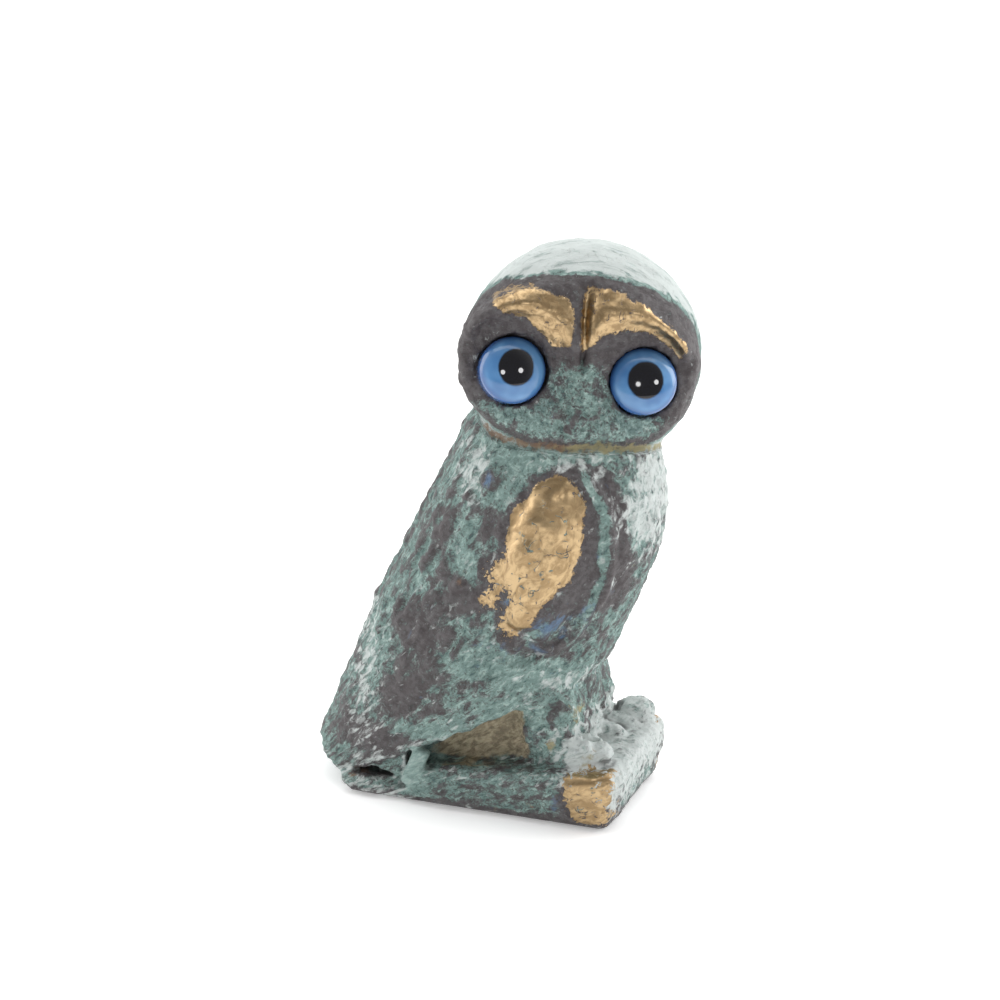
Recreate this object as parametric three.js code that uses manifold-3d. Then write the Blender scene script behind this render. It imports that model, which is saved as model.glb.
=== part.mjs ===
// An owl cast in bronze with its plinth, and two glass eyes set into its face.
// Millimetres, +Z up. The origin is the middle of the plinth's underside, +X is where the breast points,
// and the head is turned to the owl's right, towards -Y.

import * as THREE from 'three';
import { mergeVertices } from 'three/addons/utils/BufferGeometryUtils.js';
import Module from 'manifold-3d';

const wasm = await Module();
wasm.setup();

// The plinth: a low wedge that thins to a sheet under the tail.
const PLINTH_LENGTH = 34.0;
const PLINTH_WIDTH = 19.8;
const PLINTH_CORNER = 2.0;
const PLINTH_FRONT_HEIGHT = 8.0;
const PLINTH_BACK_HEIGHT = 4.9;
const PLINTH_BACK_X = -7.0;
const PLINTH_RAMP = 2.5;
const SHEET_THICKNESS = 1.6;

// The body, as sections across its height: the back, the breast and half the width.
const BODY_SECTIONS = [
  { height: 0.0, back: -22.8, front: 13.2, half: 9.0 },
  { height: 3.5, back: -23.6, front: 13.0, half: 9.6 },
  { height: 8.0, back: -21.9, front: 12.6, half: 10.0 },
  { height: 13.0, back: -19.9, front: 12.2, half: 10.4 },
  { height: 18.2, back: -17.9, front: 13.2, half: 10.8 },
  { height: 23.6, back: -15.7, front: 15.3, half: 11.1 },
  { height: 29.0, back: -13.1, front: 17.6, half: 11.3 },
  { height: 34.4, back: -10.5, front: 19.3, half: 11.3 },
  { height: 39.6, back: -7.9, front: 19.9, half: 10.7 },
  { height: 43.5, back: -6.1, front: 19.4, half: 9.8 },
  { height: 48.0, back: -3.9, front: 18.0, half: 8.4 },
  { height: 51.5, back: -0.8, front: 16.0, half: 7.4 },
];
const BODY_BOTTOM = 1.0;
const BODY_TOP = 51.4;
const BODY_SIDES = 46;
const BODY_RINGS = 26;
const BODY_END_ROUND = 2.4;
const BODY_END_TUCK = 0.1;

// The cut that leaves the tail standing over the thin end of the plinth.
const TAIL_EDGE = { x: -18.4, z: 1.6 };
const TAIL_SLOPE = THREE.MathUtils.degToRad(28);

// The web between the body's underside and the plinth, and its wider heel under the tail.
const WEB = { back: -16.0, front: 9.0, width: 11.0 };
const HEEL = { back: -16.4, topBack: -17.6, front: -11.0, width: 16.0 };
const WEB_OVERLAP = 1.5;

// The wing on each side: a ridge along its front and lower edge, and a domed shoulder.
const WING_EDGE = [
  [12.6, 45.5],
  [15.4, 40.0],
  [15.2, 32.6],
  [13.0, 27.0],
  [8.0, 21.6],
  [-3.0, 14.6],
  [-17.0, 5.4],
];
const WING_EDGE_RADIUS = 0.9;
const WING_EDGE_SUNK = 0.35;
const WING_END_SUNK = 0.9;
const SHOULDER = { x: 8.8, z: 34.0, radii: [4.7, 2.6, 10.2], sunk: 1.3 };
const SHOULDER_LEAN = THREE.MathUtils.degToRad(12);
const SHOULDER_TOE_IN = THREE.MathUtils.degToRad(20);

// The head, in its own frame: x to the viewer's right, y up and z out of the face.
const HEAD_CENTRE = new THREE.Vector3(9.7, 0, 56.4);
const HEAD_TURN = THREE.MathUtils.degToRad(23);
const HEAD_LIFT = THREE.MathUtils.degToRad(8);
const HEAD_ROLL = THREE.MathUtils.degToRad(6.2);
const SKULL = { x: 13.5, y: 13.3, z: 12.8 };
const MASK = { half: 14.0, top: 9.8, chin: 9.4, depth: 7.0, back: -3.0, round: 2.2 };
const MASK_SQUARENESS = { top: 2.15, chin: 2.7 };
const MASK_TAPER = 0.012;
const MASK_FALL = 0.01;
const MASK_BLEND = 2.5;
const MASK_SHIFT = -0.8;
const HEAD_SIDES = 46;
const HEAD_RINGS = 28;

// The eyes and the hollow round each one.
const EYE_RADIUS = 3.9;
const EYE_DOME = 2.0;
const EYE_DEPTH = 1.7;
const EYE_GAP = 0.3;
const EYE_SIDES = 28;
const EYE_DOME_STEPS = 6;
const EYE_SPREAD = 7.6;
const EYE_LEVEL = -1.3;
const EYE_SETBACK = 5.7;
const EYE_LIFT = THREE.MathUtils.degToRad(17);
const EYE_SWING = { right: THREE.MathUtils.degToRad(7), left: THREE.MathUtils.degToRad(-1) };
const BASIN = { radius: 4.2, blur: 1.7, depth: 0.9 };

// The brow, the groove between its halves and the beak, which lie about the face's midline.
const MIDLINE = -0.6;
const BROW_ARC = [
  [0.9, 2.0],
  [3.4, 5.4],
  [8.0, 6.3],
  [12.2, 4.2],
];
const BROW_RADIUS = 1.9;
const BROW_SUNK = 1.2;
const BROW_END_SUNK = 4.2;
const GROOVE = { top: 9.6, bottom: -2.6, radius: 1.5, tip: 0.15, proud: 0.7 };
const GROOVE_LEAN = THREE.MathUtils.degToRad(2);
const BEAK = { level: -6.9, width: 1.7, height: 2.0, out: 2.4, sunk: 1.2 };

// The legs and toes: each leg has its own step forward.
const LEGS = [
  { side: -1, hip: [6.6, 17.5], foot: [7.8, 9.0] },
  { side: 1, hip: [6.8, 17.5], foot: [8.6, 9.0] },
];
const LEG_SPREAD = 4.6;
const LEG_RADIUS = 3.9;
const LEG_FLATNESS = 0.3;
const LEG_SUNK = 3.4;
const TOE_SPREAD = 2.5;
const TOE = { x: 3.0, y: 1.35, z: 1.5, forward: 3.4, rise: 0.3 };
const TOE_STAGGER = 0.7;
const PAD = { forward: 1.5, longer: 1.6, sunk: 0.5 };
const OUTER_TOE = { centre: [14.4, 7.0, 8.6], radii: [2.4, 2.1, 2.0] };

// The small bar left standing under the tail.
const BAR_ENDS = [new THREE.Vector3(-10.5, -9.0, 1.0), new THREE.Vector3(-7.0, -8.8, 7.8)];
const BAR_RADIUS = 1.1;
const BAR_SIDES = 6;

const ROD_SIDES = 7;
const BROW_STEPS = 12;
const WING_STEPS = 28;
const BALL_SIDES = 12;
const DOME_SIDES = 22;

const BRONZE = { color: 0x6d7f78, roughness: 0.55, metalness: 0.7 };
const EYE_GLASS = { color: 0x3f7fc4, roughness: 0.08, metalness: 0.0 };

// A geometry with one vertex at each place, so that its faces share their corners.
function weld(geometry) {
  const bare = geometry.clone();
  bare.deleteAttribute('normal');
  bare.deleteAttribute('uv');
  return mergeVertices(bare, 1e-4);
}

function toSolid(geometry) {
  const merged = weld(geometry);
  return new wasm.Manifold(new wasm.Mesh({
    numProp: 3,
    vertProperties: new Float32Array(merged.attributes.position.array),
    triVerts: new Uint32Array(merged.index.array),
  }));
}

function toGeometry(solid) {
  const mesh = solid.getMesh();
  const geometry = new THREE.BufferGeometry();
  geometry.setAttribute('position', new THREE.BufferAttribute(new Float32Array(mesh.vertProperties), 3));
  geometry.setIndex(new THREE.BufferAttribute(new Uint32Array(mesh.triVerts), 1));
  geometry.computeVertexNormals();
  return geometry;
}

const hill = (distance, blur) => Math.exp(-((distance / blur) ** 2));

// The larger or smaller of two distances, with the crease rounded over the width given.
function softMax(a, b, width) {
  const overlap = Math.max(width - Math.abs(a - b), 0) / width;
  return Math.max(a, b) + overlap * overlap * width * 0.25;
}

function softMin(a, b, width) {
  return -softMax(-a, -b, width);
}

const bodySections = new THREE.CubicInterpolant(
  BODY_SECTIONS.map((section) => section.height),
  BODY_SECTIONS.flatMap((section) => [section.back, section.front, section.half]),
  3,
);

// A point of the body's skin, from the turn round it and the height.
function bodyPoint(turn, height) {
  const [back, front, half] = bodySections.evaluate(height);
  const middle = (front + back) / 2;
  const reach = (front - back) / 2;
  const toEnd = THREE.MathUtils.clamp((height - BODY_BOTTOM) / BODY_END_ROUND, 0, 1);
  const shrink = 1 - BODY_END_TUCK * (1 - Math.sqrt(1 - (1 - toEnd) ** 2));
  return new THREE.Vector3(
    middle + reach * shrink * Math.cos(turn),
    half * shrink * Math.sin(turn),
    height,
  );
}

// How far out to the side the body's skin lies at a place in its side view.
function bodyHalfWidth(x, z) {
  const [back, front, half] = bodySections.evaluate(z);
  const along = (2 * x - front - back) / (front - back);
  return half * Math.sqrt(Math.max(1 - along * along, 0));
}

// The body's skin: a drum whose rings are moved out to the sections.
function bodyGeometry() {
  const drum = new THREE.CylinderGeometry(1, 1, BODY_TOP - BODY_BOTTOM, BODY_SIDES, BODY_RINGS);
  drum.rotateX(Math.PI / 2);
  drum.translate(0, 0, (BODY_TOP + BODY_BOTTOM) / 2);
  const { position } = drum.attributes;
  for (let i = 0; i < position.count; i += 1) {
    const x = position.getX(i);
    const y = position.getY(i);
    const z = position.getZ(i);
    const onRim = Math.hypot(x, y) > 0.5;
    const point = onRim ? bodyPoint(Math.atan2(y, x), z) : new THREE.Vector3(bodyMiddle(z), 0, z);
    position.setXYZ(i, point.x, point.y, point.z);
  }
  return drum;
}

function bodyMiddle(height) {
  const [back, front] = bodySections.evaluate(height);
  return (front + back) / 2;
}

// The face's own surface: it falls back to the sides and sinks round the eyes.
function faceHeight(x, y) {
  const fromEye = Math.hypot(Math.abs(x) - EYE_SPREAD, y - EYE_LEVEL);
  const basin = BASIN.depth * hill(Math.max(fromEye - BASIN.radius, 0), BASIN.blur);
  return MASK.depth - MASK_FALL * x * x - basin;
}

// Signed distance to the head, negative inside.
function headDistance(point) {
  const skullReach = Math.hypot(point.x / SKULL.x, point.y / SKULL.y, point.z / SKULL.z);
  const skull = (skullReach - 1) * SKULL.y;
  const x = point.x - MASK_SHIFT;
  const rise = point.y > 0 ? MASK.top : MASK.chin;
  const squareness = point.y > 0 ? MASK_SQUARENESS.top : MASK_SQUARENESS.chin;
  const shrink = 1 - MASK_TAPER * Math.max(MASK.depth - point.z, 0);
  const reach = Math.abs(x / (MASK.half * shrink)) ** squareness
    + Math.abs(point.y / (rise * shrink)) ** squareness;
  const outline = (reach ** (1 / squareness) - 1) * rise;
  const front = point.z - faceHeight(x, point.y);
  const mask = softMax(softMax(outline, front, MASK.round), MASK.back - point.z, MASK.round);
  return softMax(softMin(skull, mask, MASK_BLEND), front, MASK.round);
}

// The head's skin: a ball whose points slide along their rays to where the distance is nothing.
// Its poles lie on the face's axis, so its rings follow the rim of the face.
function headGeometry() {
  const ball = weld(new THREE.SphereGeometry(1, HEAD_SIDES, HEAD_RINGS));
  ball.rotateX(Math.PI / 2);
  const { position } = ball.attributes;
  const ray = new THREE.Vector3();
  const point = new THREE.Vector3();
  for (let i = 0; i < position.count; i += 1) {
    ray.fromBufferAttribute(position, i).normalize();
    let near = 3;
    let far = 20;
    while (far - near > 0.002) {
      const middle = (near + far) / 2;
      point.copy(ray).multiplyScalar(middle);
      if (headDistance(point) < 0) {
        near = middle;
      } else {
        far = middle;
      }
    }
    position.setXYZ(i, ray.x * near, ray.y * near, ray.z * near);
  }
  return ball;
}

// The turn that takes the head's own frame into the object's frame.
function headTurn() {
  const turn = new THREE.Quaternion().setFromAxisAngle(new THREE.Vector3(0, 0, 1), HEAD_TURN);
  const lift = new THREE.Quaternion().setFromAxisAngle(new THREE.Vector3(1, 0, 0), Math.PI / 2 - HEAD_LIFT);
  const roll = new THREE.Quaternion().setFromAxisAngle(new THREE.Vector3(0, 0, 1), -HEAD_ROLL);
  return turn.multiply(lift).multiply(roll);
}

const headMatrix = new THREE.Matrix4().compose(HEAD_CENTRE, headTurn(), new THREE.Vector3(1, 1, 1));

// An eye as a turned shape about +Y: flat at the back and domed in front, grown by a margin all round.
function eyeGeometry(margin, standsOut) {
  const radius = EYE_RADIUS + margin;
  const profile = [new THREE.Vector2(0, -EYE_DEPTH - margin), new THREE.Vector2(radius, -EYE_DEPTH - margin)];
  for (let i = 0; i <= EYE_DOME_STEPS; i += 1) {
    const turn = (i / EYE_DOME_STEPS) * (Math.PI / 2);
    profile.push(new THREE.Vector2(radius * Math.cos(turn), standsOut * Math.sin(turn)));
  }
  profile[profile.length - 1].x = 0;
  return new THREE.LatheGeometry(profile, EYE_SIDES);
}

// Where an eye sits in the head's own frame: side is -1 for the owl's right eye and 1 for its left.
function eyeMatrix(side) {
  const swingAngle = side < 0 ? EYE_SWING.right : EYE_SWING.left;
  const place = new THREE.Vector3(MASK_SHIFT + side * EYE_SPREAD, EYE_LEVEL, EYE_SETBACK);
  const aim = new THREE.Quaternion().setFromEuler(new THREE.Euler(Math.PI / 2 - EYE_LIFT, 0, 0));
  const swing = new THREE.Quaternion().setFromAxisAngle(new THREE.Vector3(0, 1, 0), swingAngle);
  return new THREE.Matrix4().compose(place, swing.multiply(aim), new THREE.Vector3(1, 1, 1));
}

// The groove that parts the brow: a thin wedge, deepest at the top of the face.
function grooveGeometry() {
  const length = GROOVE.top - GROOVE.bottom;
  const wedge = new THREE.CylinderGeometry(GROOVE.radius, GROOVE.tip, length, 8);
  wedge.rotateX(-GROOVE_LEAN);
  wedge.translate(MIDLINE, (GROOVE.top + GROOVE.bottom) / 2, MASK.depth + GROOVE.proud);
  return wedge;
}

function beakGeometry() {
  const ball = new THREE.SphereGeometry(1, 14, 10);
  ball.scale(BEAK.width, BEAK.height, BEAK.out);
  ball.translate(MIDLINE, BEAK.level, MASK.depth - BEAK.sunk);
  return ball;
}

// A round rod bent along a smooth curve through the points given.
function rod(points, radius, steps) {
  const section = new THREE.Shape().absarc(0, 0, radius, 0, 2 * Math.PI, false);
  const path = new THREE.CatmullRomCurve3(points);
  return new THREE.ExtrudeGeometry(section, { steps, curveSegments: ROD_SIDES, extrudePath: path });
}

function browGeometry(side) {
  const points = BROW_ARC.map(([x, y], i) => {
    const sunk = i === BROW_ARC.length - 1 ? BROW_END_SUNK : BROW_SUNK;
    const z = faceHeight(side * x, y) - sunk;
    return new THREE.Vector3(MASK_SHIFT + side * x, y, z);
  });
  return rod(points, BROW_RADIUS, BROW_STEPS);
}

// The whole head in the object's frame, with its sockets cut.
function headSolid() {
  const placed = (geometry) => toSolid(geometry.applyMatrix4(headMatrix));
  let head = placed(headGeometry()).add(placed(beakGeometry()));
  for (const side of [-1, 1]) {
    head = head.add(placed(browGeometry(side)));
  }
  head = head.subtract(placed(grooveGeometry()));
  for (const side of [-1, 1]) {
    const socket = eyeGeometry(EYE_GAP, 2 * EYE_RADIUS).applyMatrix4(eyeMatrix(side));
    head = head.subtract(placed(socket));
  }
  return head;
}

// A flat outline in X and Z, given depth across Y and centred on the plane y = 0.
function across(outline, width) {
  const shape = new THREE.Shape(outline.map(([x, z]) => new THREE.Vector2(x, z)));
  const slab = new THREE.ExtrudeGeometry(shape, { depth: width, bevelEnabled: false });
  slab.rotateX(Math.PI / 2);
  slab.translate(0, width / 2, 0);
  return slab;
}

function underTail(x) {
  return TAIL_EDGE.z + (x - TAIL_EDGE.x) * Math.tan(TAIL_SLOPE);
}

function plinthTop(x) {
  const slope = (PLINTH_FRONT_HEIGHT - PLINTH_BACK_HEIGHT) / (PLINTH_LENGTH / 2 - PLINTH_BACK_X);
  return PLINTH_BACK_HEIGHT + (x - PLINTH_BACK_X) * slope;
}

// The plinth: a footprint with rounded corners, cut to its wedge outline.
function plinthSolid() {
  const halfLength = PLINTH_LENGTH / 2;
  const halfWidth = PLINTH_WIDTH / 2;
  const footprint = new THREE.Shape();
  const corners = [[1, 1, 0], [-1, 1, 90], [-1, -1, 180], [1, -1, 270]];
  for (const [signX, signY, start] of corners) {
    const centreX = signX * (halfLength - PLINTH_CORNER);
    const centreY = signY * (halfWidth - PLINTH_CORNER);
    const from = THREE.MathUtils.degToRad(start);
    footprint.absarc(centreX, centreY, PLINTH_CORNER, from, from + Math.PI / 2, false);
  }
  const tallEnough = 1.5 * PLINTH_FRONT_HEIGHT;
  const block = new THREE.ExtrudeGeometry(footprint, {
    depth: tallEnough,
    bevelEnabled: false,
    curveSegments: 4,
  });
  const wedge = across([
    [-halfLength - 1, 0],
    [halfLength + 1, 0],
    [halfLength + 1, plinthTop(halfLength + 1)],
    [PLINTH_BACK_X, PLINTH_BACK_HEIGHT],
    [PLINTH_BACK_X - PLINTH_RAMP, SHEET_THICKNESS],
    [-halfLength - 1, SHEET_THICKNESS],
  ], PLINTH_WIDTH + 2);
  return toSolid(block).intersect(toSolid(wedge));
}

// The web that joins the underside of the body to the plinth, wider at the tail.
function webSolid() {
  const floor = SHEET_THICKNESS / 2;
  const roof = (x) => [x, underTail(x) + WEB_OVERLAP];
  const web = across([
    [WEB.back, floor],
    [WEB.front, floor],
    roof(WEB.front),
    roof(WEB.back),
  ], WEB.width);
  const heel = across([
    [HEEL.back, floor],
    [HEEL.front, floor],
    roof(HEEL.front),
    roof(HEEL.topBack),
  ], HEEL.width);
  return toSolid(web).add(toSolid(heel));
}

// A ball stretched to three radii, leaned forward about Y.
function blob(centre, radii, lean) {
  const ball = new THREE.SphereGeometry(1, BALL_SIDES, 8);
  ball.scale(radii[0], radii[1], radii[2]);
  ball.rotateY(lean);
  ball.translate(centre[0], centre[1], centre[2]);
  return toSolid(ball);
}

// One leg with three toes spread on the plinth.
function legSolid({ side, hip, foot }) {
  const y = side * LEG_SPREAD;
  const middle = [(hip[0] + foot[0]) / 2, y, (hip[1] + foot[1]) / 2];
  const length = Math.hypot(hip[0] - foot[0], hip[1] - foot[1]);
  const lean = -Math.atan2(foot[0] - hip[0], hip[1] - foot[1]);
  const padX = foot[0] + PAD.forward;
  const padRadii = [TOE.x + PAD.longer, TOE_SPREAD + TOE.y, TOE.z];
  const pad = blob([padX, y, plinthTop(padX) - PAD.sunk], padRadii, 0);
  let leg = blob(middle, [LEG_RADIUS, LEG_RADIUS - LEG_FLATNESS, length / 2 + LEG_SUNK], lean).add(pad);
  for (const toe of [-1, 0, 1]) {
    const x = foot[0] + TOE.forward - TOE_STAGGER * Math.abs(toe);
    const z = plinthTop(x) + TOE.rise;
    leg = leg.add(blob([x, y + toe * TOE_SPREAD, z], [TOE.x, TOE.y, TOE.z], 0));
  }
  return leg;
}

// The bar: a six-sided rod between its two ends.
function barSolid() {
  const [low, high] = BAR_ENDS;
  const run = high.clone().sub(low);
  const bar = new THREE.CylinderGeometry(BAR_RADIUS, BAR_RADIUS, run.length(), BAR_SIDES);
  const turn = new THREE.Quaternion().setFromUnitVectors(new THREE.Vector3(0, 1, 0), run.clone().normalize());
  bar.applyQuaternion(turn);
  bar.translate((low.x + high.x) / 2, (low.y + high.y) / 2, (low.z + high.z) / 2);
  return toSolid(bar);
}

// What is cut away below the slope from the tail to the legs.
function tailCut() {
  const start = TAIL_EDGE.x - 12;
  const end = PLINTH_LENGTH / 2;
  const below = underTail(start) - 10;
  return toSolid(across([
    [start, below],
    [end, below],
    [end, underTail(end)],
    [start, underTail(start)],
  ], 2 * PLINTH_WIDTH));
}

// One wing: the ridge along its edge and the domed shoulder, laid on the body's side.
function wingSolid(side) {
  const edge = WING_EDGE.map(([x, z], i) => {
    const atEnd = i === 0 || i === WING_EDGE.length - 1;
    const y = side * (bodyHalfWidth(x, z) - (atEnd ? WING_END_SUNK : WING_EDGE_SUNK));
    return new THREE.Vector3(x, y, z);
  });
  const dome = new THREE.SphereGeometry(1, DOME_SIDES, 14);
  dome.scale(...SHOULDER.radii);
  dome.rotateY(SHOULDER_LEAN);
  dome.rotateZ(-side * SHOULDER_TOE_IN);
  dome.translate(SHOULDER.x, side * (bodyHalfWidth(SHOULDER.x, SHOULDER.z) - SHOULDER.sunk), SHOULDER.z);
  return toSolid(rod(edge, WING_EDGE_RADIUS, WING_STEPS)).add(toSolid(dome));
}

function castingSolid() {
  let casting = toSolid(bodyGeometry()).add(wingSolid(-1)).add(wingSolid(1)).subtract(tailCut());
  for (const leg of LEGS) {
    casting = casting.add(legSolid(leg));
  }
  casting = casting.add(blob(OUTER_TOE.centre, OUTER_TOE.radii, 0));
  return casting.add(headSolid()).add(webSolid()).add(plinthSolid()).add(barSolid());
}

function part(name, geometry, look) {
  const mesh = new THREE.Mesh(geometry, new THREE.MeshStandardMaterial(look));
  mesh.name = name;
  return mesh;
}

const owl = new THREE.Group();
owl.add(part('owl_casting', toGeometry(castingSolid()), BRONZE));

const face = new THREE.Group();
face.position.copy(HEAD_CENTRE);
face.quaternion.copy(headTurn());
owl.add(face);

for (const [name, side] of [['right_eye', -1], ['left_eye', 1]]) {
  const eye = part(name, eyeGeometry(0, EYE_DOME), EYE_GLASS);
  eye.applyMatrix4(eyeMatrix(side));
  face.add(eye);
}

export default owl;
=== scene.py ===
# %% [markdown]
# # A small bronze owl with glass eyes
# The real object is a souvenir about seven centimetres tall. It was cast in one piece with its low plinth,
# coloured green and brown, rubbed back to bright metal on its high places, and given two eyes of blue glass.

import math

import bpy
import numpy as np
import openvdb
from mathutils import Matrix, Vector


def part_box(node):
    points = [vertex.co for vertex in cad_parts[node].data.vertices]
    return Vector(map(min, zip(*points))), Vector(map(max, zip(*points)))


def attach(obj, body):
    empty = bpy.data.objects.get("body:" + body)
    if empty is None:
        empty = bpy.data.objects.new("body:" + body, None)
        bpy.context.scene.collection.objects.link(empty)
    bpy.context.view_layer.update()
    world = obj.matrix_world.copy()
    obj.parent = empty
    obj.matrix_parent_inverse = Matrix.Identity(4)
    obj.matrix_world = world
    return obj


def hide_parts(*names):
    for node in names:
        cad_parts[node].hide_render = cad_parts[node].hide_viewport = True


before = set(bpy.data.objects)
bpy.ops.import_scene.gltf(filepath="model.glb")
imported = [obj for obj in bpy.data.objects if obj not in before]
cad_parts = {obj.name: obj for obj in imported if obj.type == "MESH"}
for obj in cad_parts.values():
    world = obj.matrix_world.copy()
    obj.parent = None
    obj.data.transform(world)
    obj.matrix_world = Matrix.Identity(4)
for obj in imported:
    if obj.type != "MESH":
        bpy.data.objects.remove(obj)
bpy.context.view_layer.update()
MM = 0.001

# %% [markdown]
# ## The camera
# A camera comes first. It looks at the owl from a little to the right of its side and from above. Its
# distance and lens are worked out from the scale of the picture: how many pixels a millimetre takes where the
# owl stands, and which pixel the frame's origin falls on.

# %% Camera
VIEW_AZIMUTH = math.radians(20.0)
VIEW_ELEVATION = math.radians(22.0)
VIEW_DISTANCE = 0.60
PICTURE_PIXELS = 1000.0
PIXELS_PER_MM = 8.25
ORIGIN_PIXEL = (504.2, 782.0)
SENSOR = 36.0

to_camera = Vector(
    (
        math.sin(VIEW_AZIMUTH) * math.cos(VIEW_ELEVATION),
        -math.cos(VIEW_AZIMUTH) * math.cos(VIEW_ELEVATION),
        math.sin(VIEW_ELEVATION),
    )
)
picture_right = Vector((math.cos(VIEW_AZIMUTH), math.sin(VIEW_AZIMUTH), 0))
picture_up = to_camera.cross(picture_right)
middle_pixel = PICTURE_PIXELS / 2
look_at = picture_right * ((middle_pixel - ORIGIN_PIXEL[0]) / PIXELS_PER_MM * MM)
look_at += picture_up * ((ORIGIN_PIXEL[1] - middle_pixel) / PIXELS_PER_MM * MM)

camera = bpy.data.objects.new("camera", bpy.data.cameras.new("camera"))
bpy.context.scene.collection.objects.link(camera)
bpy.context.scene.camera = camera
camera.location = look_at + to_camera * VIEW_DISTANCE
camera.rotation_mode = "QUATERNION"
camera.rotation_quaternion = (-to_camera).to_track_quat("-Z", "Y")
camera.data.sensor_width = SENSOR
camera.data.lens = SENSOR * VIEW_DISTANCE / (PICTURE_PIXELS / PIXELS_PER_MM * MM)
print("camera at", [round(v, 3) for v in camera.location], "lens", round(camera.data.lens, 1))

# %% [markdown]
# ## Shapes as distances
# A casting has no seams: head, wings, legs and plinth flow into each other. Polygons make that hard, so the
# owl is described by distances. Each part is a function that says how far a point is from its skin, negative
# inside. The smaller of two distances joins two parts, the larger cuts one with the other, and a rounded
# smaller or larger fills the crease between them, as wax does in the model that the mould was taken from.

# %% Joining and cutting


def round_min(a, b, width):
    """Joins two parts and fills the crease between them over a width."""
    overlap = np.maximum(width - np.abs(a - b), 0) / width
    return np.minimum(a, b) - overlap * overlap * width * 0.25


def round_max(a, b, width):
    """Keeps what two parts share and rounds the edge between them over a width."""
    return -round_min(-a, -b, width)


def ease(share):
    """Goes from 0 to 1 with a soft start and end."""
    share = np.clip(share, 0, 1)
    return share * share * (3 - 2 * share)


def hill(distance, width):
    """A bell that is 1 where the distance is nothing."""
    return np.exp(-((distance / width) ** 2))


def ball_distance(x, y, z, radii):
    """The distance to a ball stretched to three radii about the origin."""
    reach = np.sqrt((x / radii[0]) ** 2 + (y / radii[1]) ** 2 + (z / radii[2]) ** 2)
    slope = np.sqrt((x / radii[0] ** 2) ** 2 + (y / radii[1] ** 2) ** 2 + (z / radii[2] ** 2) ** 2)
    return reach * (reach - 1) / np.maximum(slope, 1e-6)


def chain_distance(points, joints):
    """The distance from points to a chain of straight links, and how far along it they are, from 0 to 1."""
    nearest = np.full(len(points[0]), 1e6, np.float32)
    along = np.zeros(len(points[0]), np.float32)
    links = len(joints) - 1
    for i, (start, end) in enumerate(zip(joints[:-1], joints[1:])):
        link = np.subtract(end, start)
        offset = [p - s for p, s in zip(points, start)]
        share = np.clip(sum(o * d for o, d in zip(offset, link)) / (link @ link), 0, 1)
        distance = np.sqrt(sum((o - share * d) ** 2 for o, d in zip(offset, link)))
        closer = distance < nearest
        nearest = np.where(closer, distance, nearest)
        along = np.where(closer, (i + share) / links, along)
    return nearest, along


def smooth_path(corners, steps):
    """Points on a smooth curve through the corners given, as a Catmull-Rom spline."""
    corners = np.array(corners, float)
    padded = np.vstack([2 * corners[0] - corners[1], corners, 2 * corners[-1] - corners[-2]])
    points = []
    for i in range(len(corners) - 1):
        a, b, c, d = padded[i : i + 4]
        square, cube = 2 * a - 5 * b + 4 * c - d, 3 * b - a - 3 * c + d
        for t in np.arange(steps) / steps:
            points.append(0.5 * (2 * b + (c - a) * t + square * t**2 + cube * t**3))
    points.append(corners[-1])
    return np.array(points)


# %% [markdown]
# ## The body
# The body leans forward and is an oval at every height. Twelve measured sections, each with its back, its
# breast and half its width, are joined by a smooth curve. A slope cuts the underside from the tail to the
# legs. The numbers are the measured model's own, in millimetres, so the new skin lies on the old one.

# %% Body
# Height, back, breast, half width.
BODY_SECTIONS = np.array(
    [
        (0.0, -22.8, 13.2, 9.0),
        (3.5, -23.6, 13.0, 9.6),
        (8.0, -21.9, 12.6, 10.0),
        (13.0, -19.9, 12.2, 10.4),
        (18.2, -17.9, 13.2, 10.8),
        (23.6, -15.7, 15.3, 11.1),
        (29.0, -13.1, 17.6, 11.3),
        (34.4, -10.5, 19.3, 11.3),
        (39.6, -7.9, 19.9, 10.7),
        (43.5, -6.1, 19.4, 9.8),
        (48.0, -3.9, 18.3, 8.4),
        (51.5, -0.8, 16.3, 7.4),
    ]
)
BODY_TOP = 52.5
BODY_TOP_ROUND = 4.0
BODY_LEAN_FACTOR = 0.93
TAIL_EDGE_X = -18.4
TAIL_EDGE_Z = 1.6
TAIL_SLOPE = math.radians(28)
TAIL_SQUARENESS = 0.15
SKIRT_SQUARENESS = 0.9
REAR_EDGE = (-16.6, 0.0)
REAR_SLOPE = math.radians(34)


def body_section(height):
    """The back, breast and half width at a height, by cubic curves through the sections."""
    heights = BODY_SECTIONS[:, 0]
    height = np.clip(height, heights[0], heights[-1])
    i = np.clip(np.searchsorted(heights, height) - 1, 0, len(heights) - 2)
    span = heights[i + 1] - heights[i]
    t = (height - heights[i]) / span
    found = []
    for column in (1, 2, 3):
        values = BODY_SECTIONS[:, column]
        slopes = np.gradient(values, heights)
        found.append(
            (2 * t**3 - 3 * t**2 + 1) * values[i]
            + (t**3 - 2 * t**2 + t) * span * slopes[i]
            + (3 * t**2 - 2 * t**3) * values[i + 1]
            + (t**3 - t**2) * span * slopes[i + 1]
        )
    return found


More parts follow.
